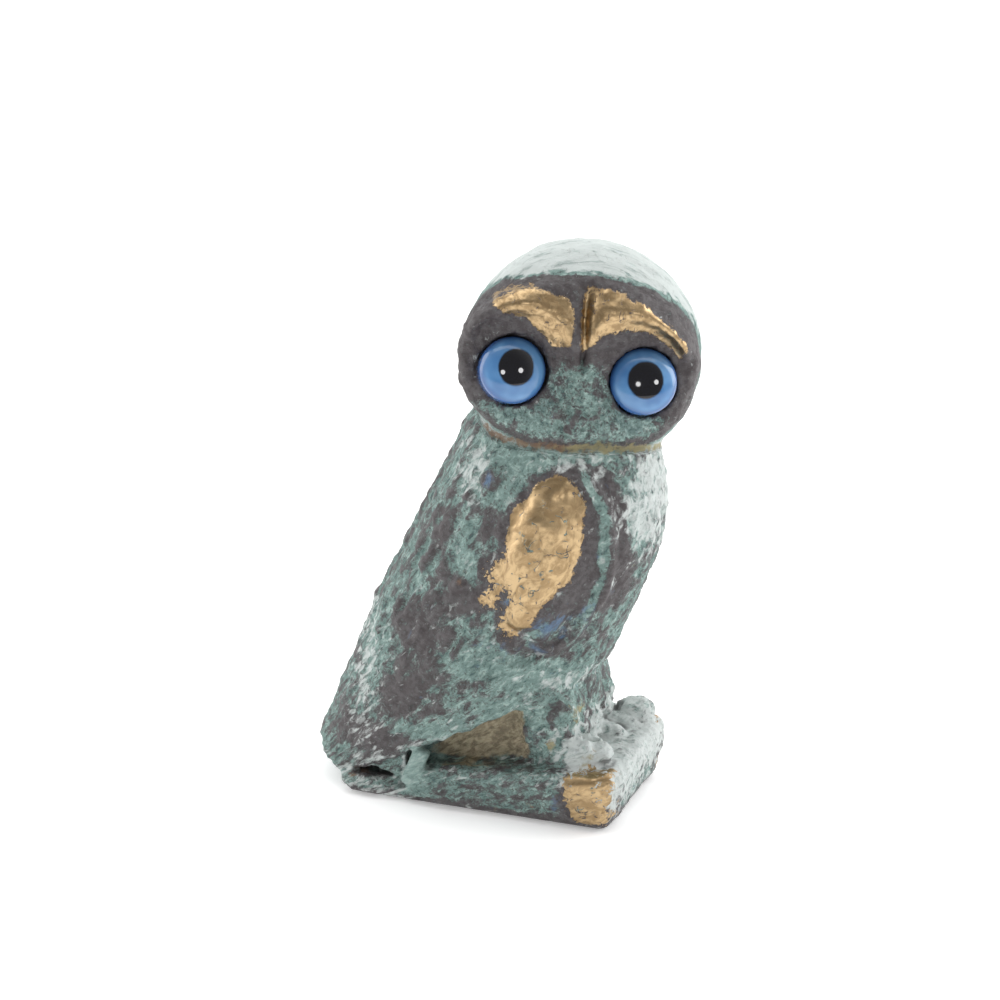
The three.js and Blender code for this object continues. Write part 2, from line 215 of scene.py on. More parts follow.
def body_drum(x, y, z):
    """The body before its underside is cut: oval, and a little squarer towards the tail."""
    back, breast, half = body_section(z)
    middle = (breast + back) / 2
    reach = (breast - back) / 2
    squareness = TAIL_SQUARENESS * ease((18 - z) / 14) + SKIRT_SQUARENESS * ease((6 - z) / 5)
    power = 2 + squareness * ease((middle - x) / 8)
    along, across = np.abs(x - middle) / reach, np.abs(y) / half
    ring = np.maximum(along**power + across**power, 1e-6) ** (1 / power)
    slope = np.hypot(along ** (power - 1) / reach, across ** (power - 1) / half) / ring ** (power - 1)
    return BODY_LEAN_FACTOR * (ring - 1) / np.maximum(slope, 1 / reach)


def body_distance(x, y, z):
    skin = round_max(body_drum(x, y, z), z - BODY_TOP, BODY_TOP_ROUND)
    under = (x - TAIL_EDGE_X) * math.sin(TAIL_SLOPE) - (z - TAIL_EDGE_Z) * math.cos(TAIL_SLOPE)
    return round_max(round_max(skin, under, 0.9), rear_distance(x, z), 1.2)


def rear_distance(x, z):
    """How far behind the slope that joins the tail's tip to the plinth's rear edge a point lies."""
    return (REAR_EDGE[0] - x) * math.sin(REAR_SLOPE) - (z - REAR_EDGE[1]) * math.cos(REAR_SLOPE)


def body_side(x, z):
    """How far out to the side the body's skin lies at a place in its side view."""
    back, breast, half = body_section(z)
    along = (2 * x - breast - back) / (breast - back)
    return half * np.sqrt(np.maximum(1 - along**2, 0))


# %% [markdown]
# ## The wings
# Each folded wing shows as a domed shoulder, which a hand rubs bright, and as a raised edge that runs round
# its front and down to the tail. The owl is the same on both sides here, so one wing is described with the
# distance from the middle plane, and serves for both.

# %% Wings
SHOULDER = {"x": 8.8, "z": 34.0, "radii": (4.7, 2.6, 10.2), "sunk": 1.3}
SHOULDER_LEAN = math.radians(12)
SHOULDER_TOE_IN = math.radians(20)
WING_EDGE = [(12.6, 45.5), (15.4, 40.0), (15.2, 32.6), (13.0, 27.0), (8.0, 21.6), (-3.0, 14.6), (-17.0, 5.4)]
WING_EDGE_RADIUS = 0.9
WING_EDGE_SUNK = 0.35
WING_EDGE_END_SUNK = 0.9
# The line along the back where the wing's rear edge lies: distance along X, height, out to the side.
WING_BACK = [(-4.5, 47.0, 3.6), (-10.0, 33.0, 3.2), (-15.6, 20.0, 2.2), (-20.4, 9.0, 1.0)]
WING_BACK_GROOVE = 0.55


def wing_path():
    """The wing's edge as points in space, laid on the body's side."""
    flat = smooth_path(WING_EDGE, 4)
    out = body_side(flat[:, 0], flat[:, 1]) - WING_EDGE_SUNK
    out[0] -= WING_EDGE_END_SUNK
    out[-1] -= WING_EDGE_END_SUNK
    return np.column_stack([flat[:, 0], out, flat[:, 1]])


def with_wings(skin, x, y, z):
    side = np.abs(y)
    centre_out = float(body_side(SHOULDER["x"], SHOULDER["z"])) - SHOULDER["sunk"]
    px, py, pz = x - SHOULDER["x"], side - centre_out, z - SHOULDER["z"]
    turn_cos, turn_sin = math.cos(SHOULDER_TOE_IN), math.sin(SHOULDER_TOE_IN)
    px, py = px * turn_cos - py * turn_sin, px * turn_sin + py * turn_cos
    lean_cos, lean_sin = math.cos(SHOULDER_LEAN), math.sin(SHOULDER_LEAN)
    px, pz = px * lean_cos - pz * lean_sin, px * lean_sin + pz * lean_cos
    skin = round_min(skin, ball_distance(px, py, pz, SHOULDER["radii"]), 0.9)
    edge, _ = chain_distance((x, side, z), wing_path())
    skin = round_min(skin, edge - WING_EDGE_RADIUS, 0.5)
    rear = smooth_path([(px_, out, pz_) for px_, pz_, out in WING_BACK], 3)
    groove, along = chain_distance((x, side, z), rear)
    return skin + WING_BACK_GROOVE * hill(groove, 1.0) * ease(8 * (1 - along))


# %% [markdown]
# ## The head
# The head has a frame of its own: x to the viewer's right, y up and z out of the face. It is turned towards
# the viewer, lifted a little and tipped to one side. The skull is a ball, flatter in front, and the face is a
# disc laid against it, which leaves a crease between them. The eyes have their places in this frame too.

# %% Head frame
HEAD_CENTRE = np.array([9.7, 0.0, 56.4])
HEAD_TURN = math.radians(23)
HEAD_LIFT = math.radians(8)
HEAD_ROLL = math.radians(6.2)
EYE_RADIUS = 3.9
EYE_DOME = 2.0
EYE_DEPTH = 1.7
EYE_SPREAD = 7.6
EYE_LEVEL = -1.3
EYE_SETBACK = 5.7
EYE_LIFT = math.radians(17)
EYE_SWING = {-1: math.radians(7), 1: math.radians(-1)}
FACE_SHIFT = -0.8

head_turn = Matrix.Rotation(HEAD_TURN, 3, "Z") @ Matrix.Rotation(math.pi / 2 - HEAD_LIFT, 3, "X")
head_turn = head_turn @ Matrix.Rotation(-HEAD_ROLL, 3, "Z")
head_axes = np.array(head_turn).T


def to_head(x, y, z):
    """Points of the object in the head's own frame."""
    offsets = (x - HEAD_CENTRE[0], y - HEAD_CENTRE[1], z - HEAD_CENTRE[2])
    return [sum(o * a for o, a in zip(offsets, axis)) for axis in head_axes]


def eye_frame(side):
    """Where an eye sits in the head's frame, and its turn: its own +Y points out of the glass."""
    place = np.array([FACE_SHIFT + side * EYE_SPREAD, EYE_LEVEL, EYE_SETBACK])
    turn = Matrix.Rotation(EYE_SWING[side], 3, "Y") @ Matrix.Rotation(math.pi / 2 - EYE_LIFT, 3, "X")
    return place, turn


for side in (-1, 1):
    print("eye at", np.round(HEAD_CENTRE + head_axes.T @ eye_frame(side)[0], 1), "mm")

# %% [markdown]
# ## The face
# The face is one surface over the disc, built from a few hills and hollows: it falls back to the sides,
# sinks round each eye, and rises in two arched brows that meet over the beak. A brow is steep on the side of
# the eye and gentle on the side of the rim, so its hill has two widths.

# %% Face relief
SKULL = (13.85, 13.6, 12.8)
SKULL_FRONT = 9.1
FACE = {"half": 14.15, "top": 9.8, "chin": 9.4, "depth": 7.0, "back": -3.0}
FACE_LEFT_WIDER = 0.4
FACE_SQUARENESS = (2.15, 2.7)
FACE_TAPER = 0.012
FACE_FALL = 0.01
BASIN = {"radius": 4.2, "blur": 1.7, "depth": 0.9}
# Along each brow, from its outer end to the beak: the angle round the eye in degrees, how far the crest is
# from the middle of the eye, and how wide the brow is.
BROW_LINES = {
    -1: [(20, 6.6, 0.8), (60, 7.4, 1.0), (78, 7.8, 1.3), (100, 8.2, 1.8), (130, 8.2, 1.9), (158, 8.0, 1.5)],
    1: [
        (20, 5.8, 0.7), (36, 5.9, 0.7), (58, 6.4, 0.9), (81, 7.2, 1.2), (102, 8.2, 1.6), (122, 9.2, 1.9),
        (152, 9.0, 1.9),
    ],
}
BROW_HEIGHT = 1.5
BROW_STEEP, BROW_GENTLE = 0.8, 1.1
BROW_FROM, BROW_TO = math.radians(22), math.radians(166)
FACE_MIDLINE = -0.6
GROOVE = {"top": 9.6, "bottom": -2.4, "width": 0.85, "depth": 1.4}
BEAK = {"level": -6.7, "radii": (1.6, 1.8, 2.1), "sunk": 0.25}
NOSTRIL = {"out": 0.75, "level": -6.9, "radius": 0.5, "depth": 0.6}
LIP = {"radius": 2.4, "width": 0.5, "height": 0.6}


def face_height(x, y):
    """How far out the face lies; x is from the middle between the eyes."""
    height = FACE["depth"] - FACE_FALL * x**2
    from_mid = x + FACE_SHIFT - FACE_MIDLINE
    for side in (-1, 1):
        across, up = side * x - EYE_SPREAD, y - EYE_LEVEL
        reach = np.hypot(across, up)
        height = height - BASIN["depth"] * hill(np.maximum(reach - BASIN["radius"], 0), BASIN["blur"])
        angle = np.arctan2(up, across)
        degrees, crests, widths = zip(*BROW_LINES[side])
        from_crest = reach - np.interp(np.degrees(angle), degrees, crests)
        width = np.interp(np.degrees(angle), degrees, widths)
        width = width * np.where(from_crest < 0, BROW_STEEP, BROW_GENTLE)
        ends = ease((angle - BROW_FROM) / 0.45) * ease((BROW_TO - angle) / 0.35)
        near_side = ends * ease(side * from_mid / 0.5 + 0.5)
        height = height + BROW_HEIGHT * hill(from_crest, width) * near_side
    down = (GROOVE["top"] - y) / (GROOVE["top"] - GROOVE["bottom"])
    width = GROOVE["width"] * (1.25 - np.clip(down, 0, 1))
    deep = ease(3 * (1 - down)) * ease(6 * down + 0.6) * (1.1 - 0.6 * np.clip(down, 0, 1))
    height = height - GROOVE["depth"] * hill(from_mid, width) * deep
    height = height + 0.5 * hill(from_mid, 2.2) * hill(y + 2.5, 3.5)
    lip = np.hypot(from_mid, y - BEAK["level"] - 0.2)
    below = ease((BEAK["level"] + 0.8 - y) / 1.2)
    return height + LIP["height"] * hill(lip - LIP["radius"], LIP["width"]) * below


# %% Head


def face_outline(across, y, z):
    """How far outside the face's outline a point of the head lies, seen from the front."""
    rise = np.where(y > 0, FACE["top"], FACE["chin"])
    power = np.where(y > 0, *FACE_SQUARENESS)
    shrink = 1 - FACE_TAPER * np.maximum(FACE["depth"] - z, 0)
    half = FACE["half"] + FACE_LEFT_WIDER * ease(-across / 6)
    reach = np.abs(across / (half * shrink)) ** power + np.abs(y / (rise * shrink)) ** power
    return (reach ** (1 / power) - 1) * rise


def head_distance(x, y, z):
    x, y, z = to_head(x, y, z)
    skull_out = np.where(z > 0, SKULL_FRONT, SKULL[2])
    reach = np.sqrt((x / SKULL[0]) ** 2 + (y / SKULL[1]) ** 2 + (z / skull_out) ** 2)
    skull = (reach - 1) * SKULL_FRONT
    across = x - FACE_SHIFT
    outline = face_outline(across, y, z)
    front = z - face_height(across, y)
    edge_round = 1.3 + 1.3 * ease((3 - y) / 8)
    disc = round_max(round_max(outline, front, edge_round), FACE["back"] - z, 2.2)
    head = round_max(round_min(skull, disc, 0.9), front - 0.4, 1.0)
    nose = ball_distance(x - FACE_MIDLINE, y - BEAK["level"], z - FACE["depth"] + BEAK["sunk"], BEAK["radii"])
    head = round_min(head, nose, 0.35)
    for side in (-1, 1):
        across = np.hypot(x - FACE_MIDLINE - side * NOSTRIL["out"], y - NOSTRIL["level"])
        head = head + NOSTRIL["depth"] * hill(across, NOSTRIL["radius"]) * ease(z / 4)
    for side in (-1, 1):
        place, turn = eye_frame(side)
        px, py, pz = x - place[0], y - place[1], z - place[2]
        out_x, out_y, out_z = turn.col[1]
        out = px * out_x + py * out_y + pz * out_z
        radial = np.sqrt(np.maximum(px**2 + py**2 + pz**2 - out**2, 0))
        socket = np.maximum(radial - EYE_RADIUS - 0.16, -out - EYE_DEPTH - 0.2)
        head = round_max(head, -socket, 0.35)
    return head


# %% [markdown]
# ## Legs, web and plinth
# The legs end in three toes each, which grip a plinth that thins to a sheet under the tail. A web of metal
# joins the underside to the plinth, because a casting can't have a tail that hangs free so close to it.
# A small bar was left standing beside the web.

# %% Legs and plinth
PLINTH_ENDS = (-18.2, 16.9)
PLINTH_HALF_WIDTH = 9.9
PLINTH_CORNER = 2.1
PLINTH_EDGE_ROUND = 1.3
PLINTH_FOOT = {"inset": 0.5, "height": 2.4, "round": 1.5}
PLINTH_BULGE = {"out": 0.75, "level": 6.0, "spread": 2.4}
PLINTH_PROFILE = [(-30.0, 3.6), (-15.2, 2.5), (-9.5, 1.9), (-6.9, 4.9), (30.0, 9.5)]
LEGS = [(-1, (6.6, 17.5), (8.7, 9.0)), (1, (6.8, 17.5), (9.2, 9.0))]
LEG_OUT = 4.6
LEG_RADIUS = 3.8
LEG_SUNK = 3.2
TOE = (3.0, 1.35, 1.5)
TOE_SPREAD = 2.5
OUTER_TOE = ((14.4, 7.0, 8.6), (2.4, 2.1, 2.0))
WEB = {"front": 12.0, "half": 5.5}
HEEL = {"front": -9.4, "inset": 0.75}
SLIT = {"x": -14.4, "z": 2.9, "reach": 3.3, "flatness": 5.5, "from_middle": 5.6}
BAR = [(-9.0, -8.9, 2.3), (-7.1, -9.0, 7.2)]
BAR_HALVES = (1.0, 0.75)
SHANK_LUMPS = [
    ((6.6, -6.7, 11.2), (1.6, 1.5, 2.6)),
    ((8.8, -7.3, 9.6), (1.5, 1.4, 2.1)),
    ((9.4, -6.4, 12.8), (1.7, 1.6, 2.4)),
    ((11.6, -7.1, 8.9), (2.0, 1.3, 1.6)),
    ((13.6, -6.2, 8.7), (2.3, 1.4, 1.3)),
]
SHANK_ROUND = 1.0


def plinth_top(x):
    return np.interp(x, *zip(*PLINTH_PROFILE))


def plinth_distance(x, y, z):
    along = np.maximum(PLINTH_ENDS[0] - x, x - PLINTH_ENDS[1]) + PLINTH_CORNER
    across = np.abs(y) - PLINTH_HALF_WIDTH + PLINTH_CORNER
    outline = np.hypot(np.maximum(along, 0), np.maximum(across, 0))
    outline = outline + np.minimum(np.maximum(along, across), 0) - PLINTH_CORNER
    outline = outline + PLINTH_FOOT["inset"] * ease(1 - z / PLINTH_FOOT["height"])
    bulge = hill(z - PLINTH_BULGE["level"], PLINTH_BULGE["spread"]) * ease(x / 12)
    outline = outline - PLINTH_BULGE["out"] * bulge
    block = round_max(outline, 0.9 * (z - plinth_top(x)), PLINTH_EDGE_ROUND)
    block = round_max(block, rear_distance(x, z), 0.8)
    return round_max(block, -z, PLINTH_FOOT["round"])


def web_distance(x, y, z):
    """The metal between the underside and the plinth: thin in the middle, and almost flush under the tail."""
    roof = TAIL_EDGE_Z + (x - TAIL_EDGE_X) * math.tan(TAIL_SLOPE) + 1.0
    middle = np.maximum(np.abs(y) - WEB["half"] - 2.0 * ease((x - 2) / 6), x - WEB["front"] + 0.09 * y**2)
    heel = np.maximum(body_drum(x, y, z) + HEEL["inset"], x - HEEL["front"])
    slit = np.hypot(x - SLIT["x"], (z - SLIT["z"]) * SLIT["flatness"]) - SLIT["reach"]
    heel = round_max(heel, -np.maximum(slit, SLIT["from_middle"] - np.abs(y)), 0.3)
    web = np.maximum(round_min(middle, heel, 1.5), z - roof)
    return round_max(np.maximum(web, -z), rear_distance(x, z), 0.8)


def toe_distance(x, y, z, centre, radii):
    return ball_distance(x - centre[0], y - centre[1], z - centre[2], radii)


def with_legs(skin, x, y, z):
    for side, hip, foot in LEGS:
        out = side * LEG_OUT
        lean = math.atan2(foot[0] - hip[0], hip[1] - foot[1])
        px, py, pz = x - (hip[0] + foot[0]) / 2, y - out, z - (hip[1] + foot[1]) / 2
        px, pz = px * math.cos(lean) + pz * math.sin(lean), pz * math.cos(lean) - px * math.sin(lean)
        half_length = math.hypot(hip[0] - foot[0], hip[1] - foot[1]) / 2 + LEG_SUNK
        leg = ball_distance(px, py, pz, (LEG_RADIUS, LEG_RADIUS - 0.3, half_length))
        skin = round_min(skin, leg, 1.4)
        pad_x = foot[0] + 1.5
        pad = (pad_x, out, float(plinth_top(pad_x)) - 0.5)
        feet = toe_distance(x, y, z, pad, (TOE[0] + 1.6, TOE_SPREAD + TOE[1], TOE[2]))
        for toe in (-1, 0, 1):
            toe_x = foot[0] + 3.4 - 0.7 * abs(toe)
            centre = (toe_x, out + toe * TOE_SPREAD, float(plinth_top(toe_x)) + 0.3)
            feet = round_min(feet, toe_distance(x, y, z, centre, TOE), 0.25)
        skin = round_min(skin, feet, 0.5)
    for centre, radii in SHANK_LUMPS:
        skin = round_min(skin, toe_distance(x, y, z, centre, radii), SHANK_ROUND)
    return round_min(skin, toe_distance(x, y, z, *OUTER_TOE), 0.4)


def bar_distance(x, y, z):
    """A flat-sided peg between its two ends."""
    low, high = np.array(BAR)
    run = high - low
    length = np.linalg.norm(run)
    run = run / length
    px, py, pz = x - low[0], y - low[1], z - low[2]
    along = px * run[0] + py * run[1] + pz * run[2]
    across = px * run[2] - pz * run[0]
    sides = round_max(np.abs(across) - BAR_HALVES[0], np.abs(py - along * run[1]) - BAR_HALVES[1], 0.5)
    return round_max(sides, np.abs(along - length / 2) - length / 2, 0.5)


# %% Whole casting


def owl_distance(x, y, z):
    skin = with_wings(body_distance(x, y, z), x, y, z)
    skin = round_min(skin, head_distance(x, y, z), 0.7)
    skin = with_legs(skin, x, y, z)
    skin = round_min(skin, web_distance(x, y, z), 0.7)
    skin = round_min(skin, plinth_distance(x, y, z), 0.6)
    return np.maximum(round_min(skin, bar_distance(x, y, z), 0.2), -z)


# %% [markdown]
# ## From distances to a mesh
# Blender comes with OpenVDB, which draws a skin of four-sided faces through a grid wherever the distance
# crosses nothing. The distances are worked out coarsely first, and finely only in the blocks near the skin.
# Each corner of the mesh then steps along the slope onto the true surface, so it is smooth between cells.

# %% Grid
CELL = 0.33
BLOCK = 4
GRID_LOW = np.array([-26.0, -15.0, -1.5])
GRID_HIGH = np.array([26.0, 15.0, 71.5])
FAR_AWAY = 5.0


def sampled_grid(distance):
    blocks = np.ceil((GRID_HIGH - GRID_LOW) / (CELL * BLOCK)).astype(int)
    corners = np.stack(np.meshgrid(*[np.arange(n) for n in blocks], indexing="ij"), -1).reshape(-1, 3)
    middles = GRID_LOW + (corners + 0.5 - 0.5 / BLOCK) * BLOCK * CELL
    coarse = distance(*middles.T)
    grid = np.repeat(np.repeat(np.repeat(np.sign(coarse).reshape(blocks), BLOCK, 0), BLOCK, 1), BLOCK, 2)
    grid = (grid * FAR_AWAY).astype(np.float32)
    near = corners[np.abs(coarse) < 1.9 * BLOCK * CELL]
    inner = np.stack(np.meshgrid(*[np.arange(BLOCK)] * 3, indexing="ij"), -1).reshape(-1, 3)
    cells = (near[:, None, :] * BLOCK + inner[None]).reshape(-1, 3)
    grid[tuple(cells.T)] = distance(*(GRID_LOW + cells * CELL).T)
    return grid


def slope_of(distance, points):
    """The direction in which the distance grows, and how fast."""
    step = 0.05
    slope = np.stack(
        [distance(*(points + step * axis).T) - distance(*(points - step * axis).T) for axis in np.eye(3)], 1
    )
    slope /= 2 * step
    rate = np.linalg.norm(slope, axis=1)
    return slope / rate[:, None], rate


volume = openvdb.FloatGrid()
volume.background = FAR_AWAY
volume.copyFromArray(sampled_grid(owl_distance))
skin_points, skin_quads = volume.convertToQuads(isovalue=0)
skin_points = GRID_LOW + skin_points * CELL
skin_normals, rate = slope_of(owl_distance, skin_points)
step_out = np.clip(owl_distance(*skin_points.T) / np.maximum(rate, 0.4), -CELL / 2, CELL / 2)
skin_points = skin_points - skin_normals * step_out[:, None]
skin_points[:, 2] = np.maximum(skin_points[:, 2], 0)
print("casting:", len(skin_points), "corners,", 2 * len(skin_quads), "triangles")

# %% [markdown]
# ## Where each finish lies
# The caster dipped the whole owl in chemicals that turned it dark brown, let green verdigris grow on it, and
# then rubbed the high places until the metal shone. So each finish has its own places, which are worked out
# here for every corner of the mesh and kept as attributes, in millimetres or as shares from 0 to 1. The
# materials break their edges up later with noise, because only the noise has to be finer than the mesh.

# %% Bright metal
# Outlines of the rubbed places: in the side view as X and height, and on the face in the head's own frame.
SHOULDER_METAL = [
    (9.9, 45.0), (11.9, 43.9), (13.2, 42.0), (13.2, 38.1), (12.9, 35.4), (12.2, 32.8), (10.7, 30.9),
    (8.9, 29.0), (7.4, 26.4), (4.5, 24.1), (3.3, 25.5), (4.1, 27.6), (5.5, 29.7), (4.2, 30.6), (3.2, 29.3),
    (2.6, 28.4), (1.3, 27.9), (1.1, 29.1), (2.7, 30.7), (1.9, 32.5), (4.1, 34.5), (4.3, 36.5), (4.5, 39.8),
    (5.8, 41.1), (7.6, 43.6),
]
BROW_METAL = {
    1: [
        (-0.7, 2.1), (1.0, 4.2), (3.8, 5.1), (6.8, 5.0), (9.1, 3.6), (10.7, 2.1), (11.1, 3.4), (9.3, 5.1),
        (6.6, 7.1), (4.0, 8.3), (1.2, 9.3), (-0.6, 9.0), (-0.9, 7.6),
    ],
    -1: [
        (-10.0, 6.0), (-7.6, 5.5), (-5.6, 4.0), (-4.0, 2.4), (-2.5, 2.6), (-2.3, 6.3), (-3.2, 7.6),
        (-5.1, 8.1), (-7.1, 8.6), (-9.1, 7.9), (-11.2, 6.6),
    ],
}
CORNER_METAL = [(11.4, 7.0), (11.4, 4.0), (12.3, 1.0), (15.8, 0.9), (16.7, 2.0), (16.8, 7.9), (13.9, 7.6)]
BROW_METAL_GROWN = 0.3
METAL_FADE = 3.0


def outline_reach(u, v, outline):
    """How far points lie inside a closed outline, negative outside it."""
    corners = np.array(outline)
    nearest = np.full(len(u), 1e6)
    inside = np.zeros(len(u), bool)
    for (ax, ay), (bx, by) in zip(corners, np.roll(corners, -1, 0)):
        run_x, run_y = bx - ax, by - ay
        share = np.clip(((u - ax) * run_x + (v - ay) * run_y) / (run_x**2 + run_y**2), 0, 1)
        nearest = np.minimum(nearest, np.hypot(u - ax - share * run_x, v - ay - share * run_y))
        crosses = (ay > v) != (by > v)
        inside ^= crosses & (u < ax + (v - ay) * run_x / (run_y or 1e-9))
    return np.where(inside, nearest, -nearest)


x, y, z = skin_points.T
side_out = np.abs(y)
head_x, head_y, head_z = to_head(x, y, z)
body_here = with_wings(body_distance(x, y, z), x, y, z)
head_here = head_distance(x, y, z)
on_head = ease((body_here - head_here) / 1.2 + 0.5)

metal_reach = np.minimum(outline_reach(x, z, SHOULDER_METAL), side_out - 5.0)
for outline in BROW_METAL.values():
    brow_reach = outline_reach(head_x, head_y, outline) + BROW_METAL_GROWN
    metal_reach = np.maximum(metal_reach, np.minimum(brow_reach, head_z - 3.0))
metal_reach = np.maximum(metal_reach, np.minimum(outline_reach(x, z, CORNER_METAL), side_out - 7.5))
metal_reach = np.clip(metal_reach, -METAL_FADE, METAL_FADE)
# The rub fades out towards the wing's lower rear, where its edge is ragged.
ragged = 0.25 + 0.75 * ease((9.0 - x) / 7) * ease((40.0 - z) / 8) * (z > 20) + 0.35 * (z < 12)
print("bright metal:", round(100 * float(np.mean(metal_reach > 0)), 1), "% of the corners")

# %% Patina
# Patches seen from the side: X, height, half length, half height, and how dark (negative) or green they are.
SIDE_PATCHES = [
    (-1.5, 28.8, 3.2, 2.4, -1.0), (-6.9, 22.3, 3.8, 4.0, -1.1), (-9.7, 14.8, 3.8, 3.4, -1.1),
    (-13.8, 8.0, 4.8, 2.3, -1.1), (2.0, 36.9, 1.5, 3.6, -0.8), (8.4, 22.6, 2.4, 1.3, -1.0),
    (11.4, 27.2, 2.2, 2.2, -0.5), (15.6, 30.5, 2.2, 2.6, -0.7), (-4.9, 35.0, 1.7, 2.2, -0.7),
    (11.8, 45.2, 2.4, 1.0, -0.6), (5.6, 22.6, 2.4, 1.2, -0.3), (7.0, 46.4, 9.0, 1.2, 0.5),
    (-13.2, 18.0, 2.6, 7.0, 0.45), (-3.0, 20.0, 3.6, 2.4, 0.35), (2.0, 19.6, 4.0, 2.4, 0.6),
    (8.6, 18.6, 5.0, 2.2, 0.9), (2.5, 42.4, 3.8, 3.0, 0.3), (-1.0, 33.6, 1.3, 3.8, 0.8),
    (18.8, 40.0, 2.0, 7.0, 0.6), (-7.0, 10.2, 6.0, 1.3, 0.8),
    (4.5, 13.6, 5.0, 1.6, 0.7), (-8.0, 3.4, 2.4, 2.6, 0.9), (12.0, 9.5, 5.0, 2.6, 0.5),
]
PALE_PATCHES = [
    (19.4, 41.0, 2.4, 8.0, 0.75), (-1.5, 44.0, 3.0, 4.0, 0.5), (-15.6, 16.0, 3.2, 12.0, 0.4),
    (17.2, 5.5, 1.6, 4.5, 0.7), (13.4, 9.6, 3.4, 3.2, 0.95), (9.0, 17.8, 5.0, 1.6, 0.4),
    (12.0, 46.0, 4.0, 2.0, 0.4),
]
BLUE_PATCHES = [
    (1.5, 43.3, 1.0, 1.7, 0.8), (9.8, 26.6, 4.2, 2.2, 0.75), (5.2, 22.6, 3.4, 1.3, 0.7),
    (10.2, 3.0, 1.1, 1.3, 0.8), (14.6, 34.0, 0.9, 3.6, 0.4), (4.7, 28.6, 1.0, 1.2, 0.7),
]
WARM_PATCHES = [
    (12.2, 14.0, 1.5, 1.9, 0.7), (13.6, 8.6, 1.6, 1.2, 0.6), (8.9, 9.9, 0.7, 0.9, 0.8),
    (-15.6, 2.9, 1.5, 0.8, 0.7), (-1.2, 31.0, 0.9, 0.8, 0.5), (7.5, 2.4, 1.4, 0.9, 0.4),
]
WEB_METAL = [(-7.6, 5.4), (-3.0, 9.4), (-0.5, 11.4), (5.0, 13.4), (5.6, 8.2), (5.2, 7.0), (-2.0, 5.4)]


def patches(places):
    """Sums soft oval patches, given in the side view."""
    total = np.zeros(len(x))
    for px, pz, half, rise, amount in places:
        total += amount * np.exp(-(((x - px) / half) ** 2) - ((z - pz) / rise) ** 2)
    return total


# Along the wing's front edge a green ridge runs between two dark grooves.
edge_x = np.interp(z, [row[1] for row in WING_EDGE[::-1]], [row[0] for row in WING_EDGE[::-1]])
from_edge = x - edge_x
on_edge = ease((z - 25.5) / 3) * ease((46.5 - z) / 2) * ease((side_out - 3) / 2)
edge_cover = 1.3 * hill(from_edge, 0.55) - 1.2 * hill(from_edge - 1.6, 0.8) - 1.2 * hill(from_edge + 1.7, 0.9)

outside_face = face_outline(head_x - FACE_SHIFT, head_y, head_z)
on_face = on_head * ease((0.55 - outside_face) / 0.5) * ease((head_z + 1) / 3)
on_dome = on_head * (1 - on_face)
eye_ring = sum(
    hill(np.maximum(np.hypot(s * (head_x - FACE_SHIFT) - EYE_SPREAD, head_y - EYE_LEVEL) - 4.2, 0), 1.9)
    for s in (-1, 1)
)
cheeks = ease((2.5 - head_y) / 3.5) * ease((7.0 - np.abs(head_x)) / 4) + ease((-4.6 - head_y) / 1.5)
face_cover = -0.75 + 1.15 * np.clip(cheeks, 0, 1) - 0.5 * eye_ring * ease((head_y + 5.5) / 3)
face_cover += 0.8 * hill(head_x + 1.3, 1.2) * ease((head_y - 4.5) / 2) - 0.8 * hill(outside_face, 0.7)
# Dark brown where the dome meets the face's rim: oxide in the crease, and painted shade there too.
dome_cover = 0.9 - 1.6 * hill(np.maximum(outside_face - 0.5, 0), 0.45) * ease((head_z + 3) / 4)
beak_here = hill(np.hypot(head_x - FACE_MIDLINE, head_y - BEAK["level"]), 2.6) * on_face
face_cover -= 0.35 * beak_here
crease = 0.8 * hill(head_here - body_here, 0.5) * ease((head_z + 3) / 5)

cover = 0.12 + patches(SIDE_PATCHES) * ease((side_out - 2.5) / 3) + edge_cover * on_edge
cover = cover * (1 - on_head) + face_cover * on_face + dome_cover * on_dome
on_bar = ease((0.4 - bar_distance(x, y, z)) / 0.3)
# Painted shade: the green is taken off the lowest 1.5 mm, so the plinth turns dark brown along its foot by
# the floor.
cover = cover * (1 - on_bar) + 1.2 * on_bar - 0.9 * ease((1.5 - z) / 0.8)
cover = np.clip(cover - 0.9 * hill(metal_reach, 0.9), -1, 1)
# Pale bloom on the dome, with painted top light: paler away from the face, and higher up on the back of the
# head.
behind = ease(-head_z / 6)
dome_bloom_and_top_light = (1 - behind) * ease((outside_face - 0.7) / 1.2) + behind * ease((head_y + 9) / 20)
pale = patches(PALE_PATCHES) * (1 - on_head) + 0.95 * on_dome * dome_bloom_and_top_light
blue = patches(BLUE_PATCHES) * (1 - on_head)
web_shine = ease(outline_reach(x, z, WEB_METAL) / 1.6 + 0.5) * ease((9.0 - side_out) / 1.0) * (1 - on_bar)
warm = patches(WARM_PATCHES) * (1 - on_head) * ease((-y - 2.5) / 2) + crease
print("patina: cover from", round(float(cover.min()), 2), "to", round(float(cover.max()), 2))

# %% [markdown]
# ## The direction of the strokes
# The wax model was combed: along the body the strokes fan out from the tail, and over the head they follow
# the rim of the face. Noise is stretched along a stroke when its coordinates are squeezed in that direction,
# so each corner gets a second set of coordinates, squeezed along the strokes of its region. Two more
# attributes say how hollow or exposed a corner is, from the distance a little out of and into the surface.

# %% Strokes
FAN_FROM = (-38.0, -14.0)
FAN_REACH = 48.0
DOME_REACH = 12.0
SQUEEZE = 2.1

fan_x, fan_z = x - FAN_FROM[0], z - FAN_FROM[1]
body_strokes = np.stack([np.hypot(fan_x, fan_z) / SQUEEZE, np.arctan2(fan_z, fan_x) * FAN_REACH, y], 1)
round_face = np.arctan2(head_x, head_y) * DOME_REACH
dome_strokes = np.stack([round_face / SQUEEZE, np.hypot(head_x, head_y), head_z], 1)
face_strokes = np.stack([head_x, head_y, head_z], 1)
strokes = dome_strokes * on_dome[:, None] + face_strokes * (on_head - on_dome)[:, None]
strokes += body_strokes * (1 - on_head)[:, None]

